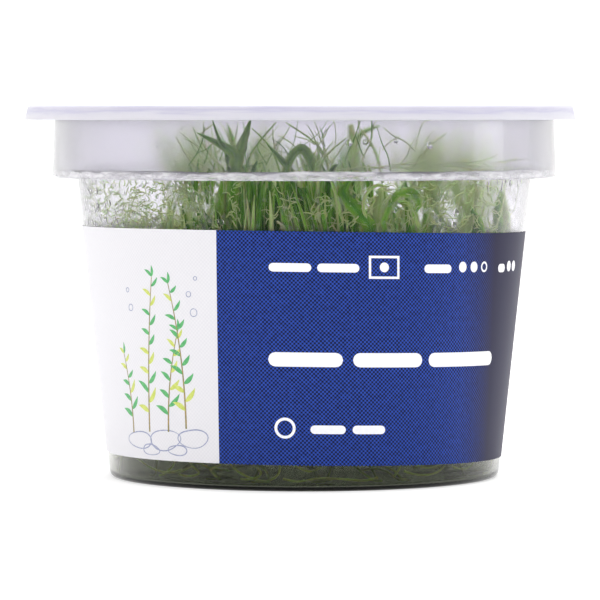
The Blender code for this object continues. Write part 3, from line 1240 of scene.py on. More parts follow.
@dataclass
class Shoot:
    """One shoot: a stem with close whorls of blade-like leaves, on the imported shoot's own line."""

    number: int
    foot: Flat
    crown: Flat
    height: float
    hook: float | None
    cup: Cup
    foot_z: float = 4.6
    first_whorl: float = 12.4
    spacing: float = 2.8
    leaves: int = 9
    lost_leaves: int = 3
    leaf_length: float = 11.2
    leaf_shortening: float = 2.0
    leaf_spread: float = 37.0
    leaf_closing: float = 13.0
    slender: float = 1.0
    paleness: float = 0.0
    fronds: int = 0
    frond_zone: float = 7.0
    stem_radius: float = 0.95
    stem_thinning: float = 0.4
    sway: float = 0.5
    tip: float = 1.6
    hook_radius: float = 2.9
    hook_turn: float = math.radians(150)
    hook_steps: int = 14
    clearance: float = 0.35
    ceiling: float = 64.9

    def __post_init__(self) -> None:
        """Sets the phase of the sway and the shoot's own random numbers."""
        self.rng = random.Random(self.number)
        self.phase = self.rng.uniform(0, math.tau)
        self.habit = Habit.CROWN if self.hook is None else Habit.HOOK

    def axis(self, z: float) -> Vector:
        """Finds the stem's middle at a height, on a straight lean with a slight sway.

        Args:
            z: the height.

        Returns:
            the point in millimetres.
        """
        share = (z - self.foot_z) / (self.height - self.foot_z)
        places = []
        for radius, azimuth in (self.foot, self.crown):
            turn = math.radians(azimuth)
            places.append(Vector((radius * math.cos(turn), radius * math.sin(turn), 0.0)))
        place = places[0].lerp(places[1], share)
        sway = self.sway * math.sin(math.pi * share)
        return Vector((place.x + sway * math.cos(self.phase), place.y + sway * math.sin(self.phase), z))

    def kept_inside(self, point: Vector) -> Vector:
        """Draws a point in where it would meet the wall or the lid.

        Args:
            point: the point, which is moved.

        Returns:
            the same point.
        """
        room = self.cup.inside(point.z) - self.clearance
        away = math.hypot(point.x, point.y)
        if away > room:
            point.xy *= room / away
        point.z = min(point.z, self.ceiling)
        return point

    def stem_path(self) -> list[tuple[Vector, float]]:
        """Draws the stem, with its hooked or straight end.

        Returns:
            points and radii up the stem.
        """
        steps = 22
        path = []
        for k in range(steps + 1):
            share = k / steps
            middle = self.axis(self.foot_z + (self.height - self.foot_z) * share)
            path.append((middle, self.stem_radius - self.stem_thinning * share))
        top, radius = path[-1]
        if self.habit is Habit.CROWN:
            return [*path, (top + Vector((0, 0, self.tip)), 0.3)]
        side = outward(math.radians(self.hook or 0.0))
        for k in range(1, self.hook_steps + 1):
            bend = self.hook_turn * k / self.hook_steps
            along = side * self.hook_radius * (1 - math.cos(bend))
            rise = Vector((0, 0, self.hook_radius * math.sin(bend)))
            path.append((self.kept_inside(top + along + rise), radius - 0.02 * k))
        return path

    def whorl_points(self) -> list[Leaf]:
        """Sets out the leaves of all whorls, and then the fronds.

        Returns:
            foot, direction, outward side, length, width and tone of every leaf.
        """
        rows = []
        span = self.height - self.first_whorl
        whorls = round(span / self.spacing)
        leafed = whorls if self.habit is Habit.HOOK else whorls + 1
        for k in range(leafed):
            share = k / whorls
            z = self.first_whorl + span * share
            middle = self.axis(z)
            heading = (self.axis(z + 0.5) - self.axis(z - 0.5)).normalized()
            start = self.rng.uniform(0, math.tau)
            for leaf in range(self.leaves - round(self.lost_leaves * share)):
                turn = start + math.tau * leaf / self.leaves + self.rng.uniform(-0.4, 0.4)
                away = outward(turn)
                away = (away - heading * away.dot(heading)).normalized()
                spread = math.radians(self.leaf_spread - self.leaf_closing * share + self.rng.uniform(-7, 5))
                length = (self.leaf_length - self.leaf_shortening * share) * self.rng.uniform(0.72, 1.0)
                foot = middle + away * 0.45
                tip = foot + (away * math.sin(spread) + heading * math.cos(spread)) * length
                way = self.kept_inside(tip) - foot
                tone = self.paleness + self.rng.random()
                width = self.slender * self.rng.uniform(0.5, 0.95)
                rows.append((foot, way.normalized(), away, way.length, width, tone))
        return rows + self.frond_points()

    def frond_points(self) -> list[Leaf]:
        """Sets out the long pale fronds that some shoots throw up under the lid.

        Returns:
            the same for every frond.
        """
        rows = []
        for _ in range(self.fronds):
            middle = self.axis(self.height - self.rng.uniform(0.0, self.frond_zone))
            away = outward(self.rng.uniform(0, math.tau))
            spread = math.radians(self.rng.uniform(5, 52))
            reach = (self.ceiling - middle.z) * self.rng.uniform(0.45, 1.05)
            tip = middle + (away * math.tan(spread) * 0.8 + Vector((0, 0, 1.0))) * reach
            way = self.kept_inside(tip) - middle
            width, tone = self.rng.uniform(0.35, 0.9), self.rng.uniform(0.9, 1.4)
            rows.append((middle, way.normalized(), away, way.length, width, tone))
        return rows


@dataclass(frozen=True)
class Blade:
    """A leaf pressed to the wall: places as x, height and distance in from the wall, with its widths."""

    shoot: int
    path: tuple[Point, ...]
    widths: tuple[float, ...]
    tone: float
    facing: bool = False


@dataclass
class Planting:
    """All the shoots, their leaves grown by one geometry node tree.

    A row of `rows` is a shoot: radius and azimuth of its foot, the same of its crown, its height and the
    azimuth that its tip hooks over to. A row of `broad` is a leaf that shows against the front wall: its
    shoot and tone, and then x, height, distance in from the wall and width at each place along it.
    """

    cup: Cup
    rows: tuple = (
        (27.6, -103, 35.0, -109, 56.8, None),
        (27.6, -73, 33.0, -86, 56.4, 180),
        (27.6, -45, 34.5, -56, 47.4, -150),
        (27.6, -16, 33.5, -26, 43.0, None),
        (27.6, 15, 32.5, 14, 47.0, None),
        (27.6, 45, 32.0, 42, 52.0, None),
        (27.6, 75, 31.5, 73, 54.5, None),
        (27.6, 105, 31.5, 103, 54.0, None),
        (27.6, 135, 31.5, 131, 52.5, None),
        (27.6, 165, 32.0, 163, 44.0, None),
        (27.6, 195, 32.5, 193, 43.0, None),
        (27.6, 225, 32.5, 224, 44.0, None),
        (13.3, -60, 18.0, -66, 53.0, None),
        (13.3, 0, 17.5, -5, 51.0, None),
        (13.3, 60, 17.0, 56, 54.0, None),
        (13.3, 120, 17.0, 116, 53.5, None),
        (13.3, 180, 17.0, 178, 44.5, None),
        (13.3, 240, 18.0, 236, 44.5, None),
        (0.0, 0, 2.0, -90, 51.5, None),
    )
    pale: tuple[int, ...] = (3, 4, 5, 10, 11, 12, 14, 17, 18)
    pale_leaves: int = 6
    pale_slenderness: float = 0.45
    paleness: float = 0.7
    stem_tone: float = 0.75
    fronds: tuple[tuple[int, int], ...] = (
        (4, 10), (5, 60), (6, 56), (7, 16), (8, 14), (9, 110), (14, 10), (15, 10), (16, 26), (18, 30)
    )
    front_facing: int = 4
    broad: tuple = (
        (1, 0.25, (-12.6, 47.0, 5.2, 2.2), (-12.0, 55.4, 1.2, 2.6), (-11.5, 58.4, 0.8, 2.4),
         (-13.6, 60.0, 0.7, 1.5), (-18.2, 62.4, 0.6, 0.2)),
        (1, 0.3, (-12.2, 50.0, 4.2, 2.0), (-11.9, 56.2, 1.4, 2.4), (-11.0, 59.3, 0.9, 2.0),
         (-9.9, 62.2, 0.7, 1.2), (-9.1, 64.7, 0.6, 0.25)),
        (1, 0.1, (-12.4, 53.0, 2.5, 1.0), (-13.2, 59.2, 0.8, 1.0), (-14.4, 61.2, 0.5, 0.7),
         (-15.6, 64.6, 0.5, 0.2)),
        (2, 0.25, (-2.6, 49.0, 4.0, 1.0), (-3.0, 55.4, 1.0, 1.3), (-2.0, 58.5, 0.6, 1.4),
         (-0.4, 59.7, 0.6, 1.7), (0.8, 58.2, 0.6, 1.7), (1.5, 55.2, 0.8, 0.6)),
        (2, 0.1, (-1.8, 50.0, 4.0, 1.4), (-2.6, 56.0, 1.0, 1.5), (-3.9, 57.8, 0.7, 1.1),
         (-6.2, 60.4, 0.6, 0.2)),
        (2, 0.15, (4.6, 37.0, 4.0, 1.5), (11.0, 44.8, 0.8, 2.6), (9.6, 48.4, 0.6, 2.4),
         (6.7, 52.0, 0.6, 2.0), (8.4, 55.0, 0.8, 0.4)),
        (3, 0.35, (19.6, 40.0, 3.5, 1.2), (14.0, 45.4, 0.8, 1.4), (14.3, 48.9, 0.6, 1.4),
         (15.9, 51.5, 0.6, 1.6), (18.2, 52.0, 0.6, 2.0), (19.7, 50.5, 0.6, 1.8), (19.2, 48.7, 0.8, 0.5)),
        (3, 0.7, (20.2, 41.0, 2.5, 1.0), (19.7, 45.6, 0.9, 1.1), (18.6, 48.6, 0.8, 0.9),
         (18.2, 50.0, 1.0, 0.3)),
        (3, 0.8, (17.0, 40.0, 3.0, 0.6), (11.2, 46.8, 0.7, 0.6), (10.2, 50.6, 0.5, 0.6),
         (12.0, 53.2, 0.5, 0.6), (14.6, 53.1, 0.6, 0.2)),
        (4, 0.1, (29.8, 40.0, 3.0, 1.8), (30.4, 45.0, 1.2, 2.3), (30.0, 47.2, 1.1, 1.6),
         (28.9, 49.5, 1.0, 0.2)),
        # These two rows are one folded leaf: the left half's dark tone is painted shade and the right half's
        # pale tone is painted light.
        (4, 0.15, (32.0, 38.0, 3.6, 1.6), (34.2, 44.4, 2.6, 2.0), (34.2, 48.4, 2.2, 1.6),
         (34.8, 52.4, 2.0, 0.2)),
        (4, 0.95, (33.6, 38.0, 3.6, 1.6), (35.8, 44.4, 2.2, 1.7), (35.7, 48.4, 1.9, 1.3),
         (34.9, 52.4, 2.0, 0.2)),
        (2, 0.75, (5.5, 41.0, 3.0, 1.2), (6.2, 45.4, 1.4, 1.2), (5.8, 50.8, 1.2, 1.1),
         (4.6, 54.2, 1.4, 0.4)),
        (1, 0.05, (-8.6, 50.0, 4.0, 1.2), (-8.9, 55.0, 1.6, 1.2), (-8.0, 57.6, 1.2, 0.2)),
        (1, 0.2, (-9.2, 50.0, 4.0, 1.0), (-9.6, 54.6, 1.8, 1.0), (-10.4, 56.9, 1.4, 0.2)),
        (1, 0.45, (-10.6, 54.0, 6.0, 0.5), (-8.9, 59.1, 2.6, 0.42), (-4.8, 64.2, 1.6, 0.2)),
        (2, 0.5, (-3.4, 53.0, 5.0, 0.5), (-5.5, 59.5, 2.4, 0.4), (-8.9, 63.2, 1.6, 0.2)),
        (2, 0.6, (4.6, 54.0, 6.0, 0.5), (2.7, 59.8, 3.0, 0.4), (-3.1, 64.2, 2.0, 0.2)),
        (1, 0.8, (-13.0, 53.0, 6.0, 0.5), (-16.8, 58.6, 3.0, 0.4), (-19.0, 63.4, 2.0, 0.2)),
        (1, 0.9, (-13.2, 52.0, 6.0, 0.5), (-19.2, 57.2, 3.4, 0.4), (-22.0, 61.8, 2.4, 0.2)),
        (1, 0.9, (-12.0, 54.0, 8.0, 0.45), (-17.6, 61.0, 3.4, 0.35), (-15.4, 64.0, 2.6, 0.2)),
        (13, 0.85, (7.6, 50.0, 14.0, 1.8), (8.6, 57.0, 9.0, 2.3), (8.0, 63.8, 8.0, 0.9)),
        (13, 0.4, (8.2, 58.0, 9.5, 1.0), (9.6, 62.0, 9.0, 1.0), (13.0, 63.6, 8.0, 0.3)),
        (2, -0.2, (3.6, 50.0, 5.0, 1.0), (4.6, 55.6, 1.2, 1.1), (5.6, 57.0, 0.8, 0.2)),
        (2, 0.7, (2.0, 51.0, 5.0, 0.5), (3.2, 57.6, 2.2, 0.4), (7.2, 61.6, 1.8, 0.2)),
        (14, 0.9, (14.6, 50.0, 16.0, 0.7), (12.4, 58.6, 6.0, 0.6), (9.6, 63.2, 5.0, 0.2)),
        (14, 0.9, (16.0, 50.0, 16.0, 0.7), (19.8, 58.0, 6.0, 0.6), (24.6, 62.4, 5.0, 0.2)),
        (1, 0.5, (-15.0, 42.0, 5.0, 1.8), (-14.6, 49.0, 4.6, 2.2), (-14.0, 54.4, 4.2, 0.8)),
        (2, 0.6, (0.6, 42.0, 6.0, 2.2), (1.2, 49.0, 6.0, 2.4), (2.0, 54.2, 6.0, 0.8)),
        (3, 0.9, (12.2, 40.0, 8.0, 2.2), (12.8, 48.0, 8.0, 2.6), (13.4, 52.8, 8.0, 0.8)),
    )

    def broad_blades(self) -> list[Blade]:
        """Reads the table of broad leaves.

        Returns:
            the leaves. Those of the shoot at the right turn their faces to the front.
        """
        found = []
        for shoot, tone, *places in self.broad:
            path = tuple(place[:3] for place in places)
            widths = tuple(place[3] for place in places)
            found.append(Blade(shoot, path, widths, tone, shoot == self.front_facing))
        return found

    def bundles(self) -> list[Blade]:
        """Sets out the sheaves of narrow upright blades against the front wall, and the curtains behind them.

        Returns:
            the blades.
        """
        rng = random.Random(31)
        found = []
        for shoot, left, right, low, high, lean, count in (
            (1, -12.4, -5.2, 40.0, 54.6, 0.6, 15),
            (2, -1.4, 3.6, 40.0, 55.6, -3.4, 13),
            (3, 12.0, 20.0, 38.0, 46.0, 1.0, 7),
            (2, 3.0, 9.0, 40.0, 52.5, -1.0, 8),
            (1, -20.0, -12.5, 39.0, 50.5, -1.6, 10),
        ):
            backing = count // 2 + 1
            for k in range(backing):
                foot = left + (right - left) * (k + rng.uniform(0.3, 0.7)) / backing
                tip = foot + lean + rng.uniform(-0.5, 0.5)
                middle = (foot + tip) / 2
                peak = (tip, high - rng.uniform(0.0, 3.0), 3.4)
                path = ((foot, low, 5.5), (middle, (low + high) / 2, 4.2), peak)
                found.append(Blade(shoot, path, (1.8, 2.0, 0.3), rng.uniform(-0.2, 0.35)))
            for k in range(count):
                foot = left + (right - left) * (k + rng.uniform(0.2, 0.8)) / count
                top = high - rng.uniform(0.0, 4.5)
                tip = foot + lean + rng.uniform(-0.9, 0.9)
                deep = rng.uniform(0.5, 2.4)
                middle = (foot + tip) / 2 + rng.uniform(-0.5, 0.5)
                path = ((foot, low, deep + 1.2), (middle, (low + top) / 2, deep), (tip, top, deep * 0.8))
                wide = rng.uniform(0.4, 0.95)
                found.append(Blade(shoot, path, (wide, wide * 1.1, 0.12), rng.uniform(-0.1, 1.0)))
        for shoot, count, across, depths, tops, waist, sway, splay, widths, tones in (
            (19, 46, (-15.0, 21.0), (9.0, 20.0), (50.0, 54.5), 46.0, 1.0, 3.0, (2.2, 2.2, 0.3), (0.1, 1.2)),
            (12, 44, (-33.0, -13.0), (5.0, 12.0), (47.0, 53.0), 44.0, 0.8, 2.5, (1.3, 1.4, 0.2), (0.9, 1.6)),
        ):
            for _ in range(count):
                foot = rng.uniform(*across)
                deep, top = rng.uniform(*depths), rng.uniform(*tops)
                middle, tip = foot + rng.uniform(-sway, sway), foot + rng.uniform(-splay, splay)
                path = ((foot, 38.0, deep), (middle, waist, deep), (tip, top, deep))
                found.append(Blade(shoot, path, widths, rng.uniform(*tones)))
        return found

    def curls(self) -> list[Blade]:
        """Sets out the fine pale needles that curl against the wall, the palest of them in cream as painted
        highlights.

        Returns:
            the needles.
        """
        rng = random.Random(77)
        found = []
        for shoot, left, right, high, count, tone in (
            (11, -38.5, -30.0, 54.6, 120, 1.0),
            (12, -31.0, -18.0, 54.6, 190, 0.95),
            (1, -19.0, -11.0, 54.2, 60, 0.6),
            (2, -5.8, -2.2, 53.0, 20, 0.9),
            (2, 1.0, 8.0, 52.5, 40, 0.95),
            (3, 8.0, 20.0, 53.6, 90, 0.8),
            (4, 20.0, 34.0, 54.4, 120, 0.9),
        ):
            low = 45.0
            for _ in range(count):
                x, z = rng.uniform(left, right), rng.uniform(low - 1.0, high - 0.8)
                heading, curl = rng.uniform(0, math.tau), rng.uniform(-1.2, 1.2)
                reach = rng.uniform(0.3, 0.8) if left < -12 else rng.uniform(0.4, 1.2)
                path = []
                for _ in range(4):
                    path.append((x, min(high, max(low - 2.0, z)), rng.uniform(0.35, 0.9)))
                    x += reach * math.cos(heading)
                    z += reach * math.sin(heading)
                    heading += curl
                wide = rng.uniform(0.12, 0.26)
                widths = (wide, wide, wide * 0.8, 0.08)
                # Tones above 1 reach the cream top of the ramp: painted highlights that stand in for wet
                # glints on the pale needles.
                found.append(Blade(shoot, tuple(path), widths, tone + rng.uniform(-0.1, 0.6)))
        return found + self.shoulder_tips(rng)

    def shoulder_tips(self, rng: random.Random) -> list[Blade]:
        """Sets out the loose needles in the neck and on the shoulder, and the short tips that stand there;
        the level needles on the shoulder are painted glints.

        Args:
            rng: the random numbers, after those of the curls.

        Returns:
            the needles and tips.
        """
        found = []
        for shoot, left, right, low, high, count, lean in (
            (1, -20.0, -6.0, 55.0, 60.5, 26, 1.2),
            (2, -8.0, 6.0, 55.0, 60.5, 28, 1.0),
            (3, 3.0, 20.0, 55.0, 60.5, 18, 0.9),
            # This row lies level on the shoulder: its needles, at the palest tone, are painted glints along
            # the ledge.
            (3, 3.0, 36.0, 55.7, 57.4, 26, 0.1),
        ):
            upright = lean > 0.5
            for _ in range(count):
                x, z = rng.uniform(left, right), rng.uniform(low, high)
                slope, reach = rng.uniform(-lean, lean), rng.uniform(1.2, 2.8)
                if upright:
                    slope += math.pi / 2
                path = []
                for _ in range(4):
                    deep = rng.uniform(0.5, 1.4) + (0.6 if upright else 0.0)
                    path.append((min(40.0, x), min(64.6, max(55.6, z)), deep))
                    x += reach * math.cos(slope)
                    z += reach * math.sin(slope)
                    slope += rng.uniform(-0.35, 0.35)
                wide = rng.uniform(0.1, 0.24)
                # Level needles get the palest tone as painted glints.
                tone = rng.choice((0.1, 1.0, 1.5)) if upright else 1.5
                found.append(Blade(shoot, tuple(path), (wide, wide, wide, 0.08), tone))
        for shoot, left, right, count in ((1, -20.5, -6.0, 16), (2, -6.0, 7.0, 13), (3, 7.0, 16.0, 5)):
            for _ in range(count):
                x, lean, top = rng.uniform(left, right), rng.uniform(-1.6, 1.6), rng.uniform(55.8, 58.2)
                path = ((x, 50.0, 6.0), (x + lean * 0.4, 54.5, 2.4), (x + lean, top, rng.uniform(0.9, 2.6)))
                found.append(Blade(shoot, path, (0.6, rng.uniform(0.5, 1.0), 0.15), rng.uniform(0.0, 1.0)))
        return found

    def leaf_mesh(self, name: str, bulge: float) -> Object:
        """Makes one leaf, a metre long and a metre wide before its points scale it, with its tip on its axis.

        Args:
            name: the object's name.
            bulge: how far its middle bends outwards, as a share of its length.

        Returns:
            the object, unlinked from the scene.
        """
        steps = 5
        widest = 0.45
        shell = Shell()
        for k in range(steps + 1):
            t = k / steps
            taper = 0.62 + 0.75 * t if t < widest else 1 - ((t - widest) / (1 - widest)) ** 2.2
            width = max(0.5 * taper, 0.03)
            thick = 0.16 * (1 - 0.75 * t)
            middle = bulge * math.sin(math.pi * t)
            row = [(middle, -width, t), (middle + thick, 0, t), (middle, width, t), (middle - thick, 0, t)]
            shell.ring(row)
        shell.bridge([4 * k for k in range(steps + 1)], 4)
        mesh = shell.mesh(name, 1.0)
        mesh.shade_smooth()
        rims = [1.0, 0.0] * (len(shell.verts) // 2)
        mesh.attributes.new("rim", "FLOAT", "POINT").data.foreach_set("value", rims)
        return bpy.data.objects.new(name, mesh)

    def whorl_tree(self) -> Tree:
        """Makes the tree that puts a leaf on every leaf point and joins the leaves to the stem.

        Returns:
            the node tree.
        """
        inputs = {
            "Stem": "Geometry",
            "Leaf points": "Object",
            "Leaf shapes": "Collection",
            "Leaf width": "Float",
            "Finish": "Material",
        }
        tree, given = new_tree("whorled_leaves", inputs, "Shoot")
        points = add(tree, "GeometryNodeObjectInfo", {"Object": given["Leaf points"]}, out="Geometry")
        apart = {"Collection": given["Leaf shapes"], "Separate Children": True, "Reset Children": True}
        shapes = add(tree, "GeometryNodeCollectionInfo", apart)
        read = {}
        for name, kind in (("turn", "FLOAT_VECTOR"), ("size", "FLOAT_VECTOR"), ("kind", "INT")):
            read[name] = add(tree, "GeometryNodeInputNamedAttribute", {"Name": name}, data_type=kind)
        wide = add(tree, "ShaderNodeCombineXYZ", (given["Leaf width"], given["Leaf width"], 1.0))
        scaled = (read["size"], wide)
        scatter = {
            "Points": points,
            "Instance": shapes,
            "Pick Instance": True,
            "Instance Index": read["kind"],
            "Rotation": add(tree, "FunctionNodeEulerToRotation", (read["turn"],)),
            "Scale": add(tree, "ShaderNodeVectorMath", scaled, operation="MULTIPLY"),
        }
        placed = add(tree, "GeometryNodeInstanceOnPoints", scatter)
        real = add(tree, "GeometryNodeRealizeInstances", (placed,))
        joined = add(tree, "GeometryNodeJoinGeometry", (given["Stem"],))
        tree.links.new(real, joined.node.inputs[0])
        dressed = add(tree, DRESS, {"Geometry": joined, "Material": given["Finish"]})
        add(tree, "NodeGroupOutput", {"Shoot": dressed})
        return tree

    def tube(self, path: list[tuple[Vector, float]], sides: int, shell: Shell) -> None:
        """Adds a closed tube along a path.

        Args:
            path: points and radii.
            sides: corners round it.
            shell: what it joins.
        """
        turn = Quaternion()
        heading = UP
        rings = []
        for k, (point, radius) in enumerate(path):
            before = path[max(0, k - 1)][0]
            after = path[min(len(path) - 1, k + 1)][0]
            way = (after - before).normalized()
            turn = heading.rotation_difference(way) @ turn
            heading = way
            turns = [math.tau * side / sides for side in range(sides)]
            rim = [Vector((radius * math.cos(angle), radius * math.sin(angle), 0)) for angle in turns]
            rings.append(shell.ring([point + turn @ place for place in rim]))
        shell.bridge(rings, sides)

    def wall_blade(self, blade: Blade, shell: Shell) -> None:
        """Adds one leaf that lies along the wall, as a thin lens-shaped solid with a fold in its middle.

        Args:
            blade: the leaf.
            shell: what it joins.
        """
        steps = 6
        widths = []
        for start, end in zip(blade.widths, blade.widths[1:]):
            widths += [start * (1 - step / steps) + end * (step / steps) for step in range(steps)]
        widths.append(blade.widths[-1])
        knots = [Vector(place) for place in blade.path]
        spots = []
        for place in (*spline(knots, steps), knots[-1]):
            room = self.cup.inside(place.y) - place.z
            spots.append(Vector((place.x, -math.sqrt(max(1.0, room * room - place.x**2)), place.y)))
        rings = []
        for k, (spot, width) in enumerate(zip(spots, widths)):
            way = (spots[min(len(spots) - 1, k + 1)] - spots[max(0, k - 1)]).normalized()
            out = Vector((0, -1, 0)) if blade.facing else Vector((spot.x, spot.y, 0)).normalized()
            side = way.cross(out).normalized() * width / 2
            out = side.cross(way).normalized()
            thick = 0.09 * width + 0.06
            section = [spot + side, spot + out * thick, spot - side, spot - out * thick * 1.6]
            rings.append(shell.ring(section))
        shell.bridge(rings, 4)

    def points_object(self, shoot: Shoot) -> Object:
        """Makes the leaf points of a shoot, with the turn, size, shape and tone of each leaf.

        Args:
            shoot: the shoot.

        Returns:
            an object of loose points, linked to the scene.
        """
        rows = shoot.whorl_points()
        mesh = bpy.data.meshes.new("leaf_points")
        mesh.from_pydata([tuple(row[0] * MM) for row in rows], [], [])
        kinds = {"turn": "FLOAT_VECTOR", "size": "FLOAT_VECTOR", "tone": "FLOAT", "kind": "INT"}
        for name, kind in kinds.items():
            mesh.attributes.new(name, kind, "POINT")
        turn, size, tone, kind = (mesh.attributes[name] for name in kinds)
        for k, (_, way, away, length, width, shade) in enumerate(rows):
            side = way.cross(away).normalized()
            across = side.cross(way).normalized()
            turn.data[k].vector = Matrix((across, side, way)).transposed().to_euler()
            size.data[k].vector = (width * MM, width * MM, length * MM)
            tone.data[k].value = shade
            kind.data[k].value = shoot.rng.randrange(4)
        return link("leaf_points", mesh)

    def stem(self, shoot: Shoot, blades: list[Blade], finish: Material) -> Object:
        """Makes a shoot's stem and the leaves of it that lie on the wall.

        Args:
            shoot: the shoot.
            blades: its leaves on the wall.
            finish: the leaf material.

        Returns:
            the object, with the tone and rim that the material reads.
        """
        shell = Shell()
        self.tube(shoot.stem_path(), 10, shell)
        tones = [self.stem_tone] * len(shell.verts)
        rims = [0.0] * len(shell.verts)
        for blade in blades:
            self.wall_blade(blade, shell)
            added = len(shell.verts) - len(tones)
            tones += [blade.tone] * added
            rims += [1.0, 0.0] * (added // 2)
        stem = shell.piece("stem", [finish])
        for name, values in (("tone", tones), ("rim", rims)):
            stem.data.attributes.new(name, "FLOAT", "POINT").data.foreach_set("value", values)
        return stem

    def build(self) -> None:
        """Builds every shoot as one plain mesh."""
        finish = Greenery("wet_leaf_skin").material()
        tree = self.whorl_tree()
        shapes = bpy.data.collections.new("leaf_shapes")
        for name, bulge in (("leaf_a", 0.0), ("leaf_b", 2.2), ("leaf_c", -1.6), ("leaf_d", 4.2)):
            shapes.objects.link(self.leaf_mesh(name, bulge))
        blades = [*self.broad_blades(), *self.bundles(), *self.curls()]
        fronds = dict(self.fronds)
        for number, (r0, a0, r1, a1, height, hook) in enumerate(self.rows, start=1):
            shoot = Shoot(number, (r0, a0), (r1, a1), height, hook, self.cup, fronds=fronds.get(number, 0))
            if number in self.pale:
                shoot.leaves, shoot.slender = self.pale_leaves, self.pale_slenderness
                shoot.paleness = self.paleness
            stem = self.stem(shoot, [blade for blade in blades if blade.shoot == number], finish)
            points = self.points_object(shoot)
            values = {"Leaf points": points, "Leaf shapes": shapes, "Leaf width": 1.0, "Finish": finish}
            piece = grown(stem, tree, values, f"leafy_shoot_{number:02d}")
            for vertex in piece.data.vertices:
                vertex.co = shoot.kept_inside(vertex.co / MM) * MM
            bpy.data.objects.remove(points, do_unlink=True)
            finish_piece(piece, f"shoot_{number:02d}")
        discard(shapes)


@dataclass
class Roots:
    """Pale roots and runners that loop through the gel, swept along their paths by a node tree.

    A row of `loops` is a root that shows against the foot's wall: x and height of the places that it passes.
    """

    cup: Cup
    count: int = 70
    steps: int = 16
    low: float = 1.5
    high: float = 9.8
    radius: float = 0.22
    wall_gap: float = 2.2
    loops: tuple[tuple[Flat, ...], ...] = (
        ((-23.0, 6.0), (-22.2, 4.4), (-23.8, 2.4), (-25.0, 1.9)),
        ((-20.4, 6.0), (-19.2, 4.2), (-21.4, 2.6), (-19.6, 2.2), (-18.0, 2.9), (-19.6, 4.6), (-19.0, 6.0)),
        ((-15.0, 6.0), (-14.2, 4.6), (-16.0, 3.6), (-14.6, 2.0)),
        ((-13.0, 5.2), (-11.6, 3.6), (-9.4, 2.4), (-6.6, 1.8), (-4.6, 2.8), (-4.2, 4.6), (-5.6, 5.6)),
        ((-10.8, 5.4), (-8.6, 4.6), (-7.4, 3.2), (-8.6, 2.2), (-11.2, 2.0)),
        ((-3.6, 2.2), (-1.0, 1.8), (2.6, 2.3), (6.4, 2.2), (10.2, 1.8), (13.0, 2.4)),
        ((-1.6, 4.6), (0.8, 3.6), (3.2, 4.4)),
        ((15.6, 5.6), (16.4, 4.0), (15.2, 2.2)),
        ((17.2, 3.2), (19.6, 2.4), (22.6, 2.6), (24.0, 4.0), (23.0, 5.4)),
        ((18.6, 4.4), (21.4, 3.6), (24.8, 4.6), (26.2, 6.0)),
        ((26.0, 5.2), (25.4, 3.6), (27.2, 2.8), (29.0, 3.6), (29.4, 5.6)),
        ((-28.4, 4.6), (-26.4, 3.2), (-23.6, 2.6), (-20.6, 3.4)),
    )

    def paths(self) -> list[list[Point]]:
        """Draws the roots that show against the wall, and then those that wander round inside the gel.

        Returns:
            the points of each.
        """
        rng = random.Random(21)
        paths = []
        for loop in self.loops:
            path = []
            for place in spline([Vector((x, z, rng.uniform(1.2, 2.2))) for x, z in loop], 5):
                room = self.cup.outside(place.y) - self.cup.wall - place.z
                path.append((place.x, -math.sqrt(room * room - place.x**2), place.y))
            paths.append(path)
        for _ in range(self.count):
            angle = rng.uniform(0, math.tau)
            radius = rng.uniform(0.5, 0.965) * (self.cup.outside(4) - 1.4)
            z = rng.uniform(3.0, self.high)
            heading, curl = rng.uniform(-0.5, 0.5), rng.uniform(-0.25, 0.25)
            path = []
            for _ in range(self.steps):
                room = self.cup.outside(z) - self.wall_gap - (1.2 if z < 3.4 else 0.0)
                path.append(around(min(radius, room), angle, z))
                heading += curl + rng.uniform(-0.15, 0.15)
                angle += 0.028 * math.cos(heading)
                z = min(self.high, max(self.low, z + 0.75 * math.sin(heading)))
                radius += rng.uniform(-0.3, 0.3)
            paths.append(path)
        return paths

    def tree(self) -> Tree:
        """Makes the tree that sweeps a round section along every path.

        Returns:
            the node tree.
        """
        inputs = {"Paths": "Geometry", "Root radius": "Float", "Finish": "Material"}
        tree, given = new_tree("swept_roots", inputs, "Roots")
        curve = add(tree, "GeometryNodeMeshToCurve", (given["Paths"],))
        circle = {"Resolution": 6, "Radius": given["Root radius"]}
        ring = add(tree, "GeometryNodeCurvePrimitiveCircle", circle)
        sweep = {"Curve": curve, "Profile Curve": ring, "Fill Caps": True}
        swept = add(tree, "GeometryNodeCurveToMesh", sweep)
        real = add(tree, "GeometryNodeRealizeInstances", (swept,))
        smooth = add(tree, "GeometryNodeSetShadeSmooth", {"Geometry": real})
        dressed = add(tree, DRESS, {"Geometry": smooth, "Material": given["Finish"]})
        add(tree, "NodeGroupOutput", {"Roots": dressed})
        return tree

    def build(self) -> None:
        """Builds the roots."""
        shell = Shell()
        for path in self.paths():
            start = shell.ring(path)
            shell.edges += [(k, k + 1) for k in range(start, len(shell.verts) - 1)]
        paths = link("root_paths", shell.mesh("root_paths"))
        # Pale skin: pale of its own and glowing where light comes through, and raised to nearly white as
        # painted light for the light that does not reach the roots, so that they stand out in the dark gel.
        skin = Greenery("pale_root_skin", ("#c0d860", "#dcea90", "#f4f4c8", "#fffef0"), 2.0).material()
        piece = grown(paths, self.tree(), {"Root radius": self.radius * MM, "Finish": skin}, "gel_roots")
        finish_piece(piece)


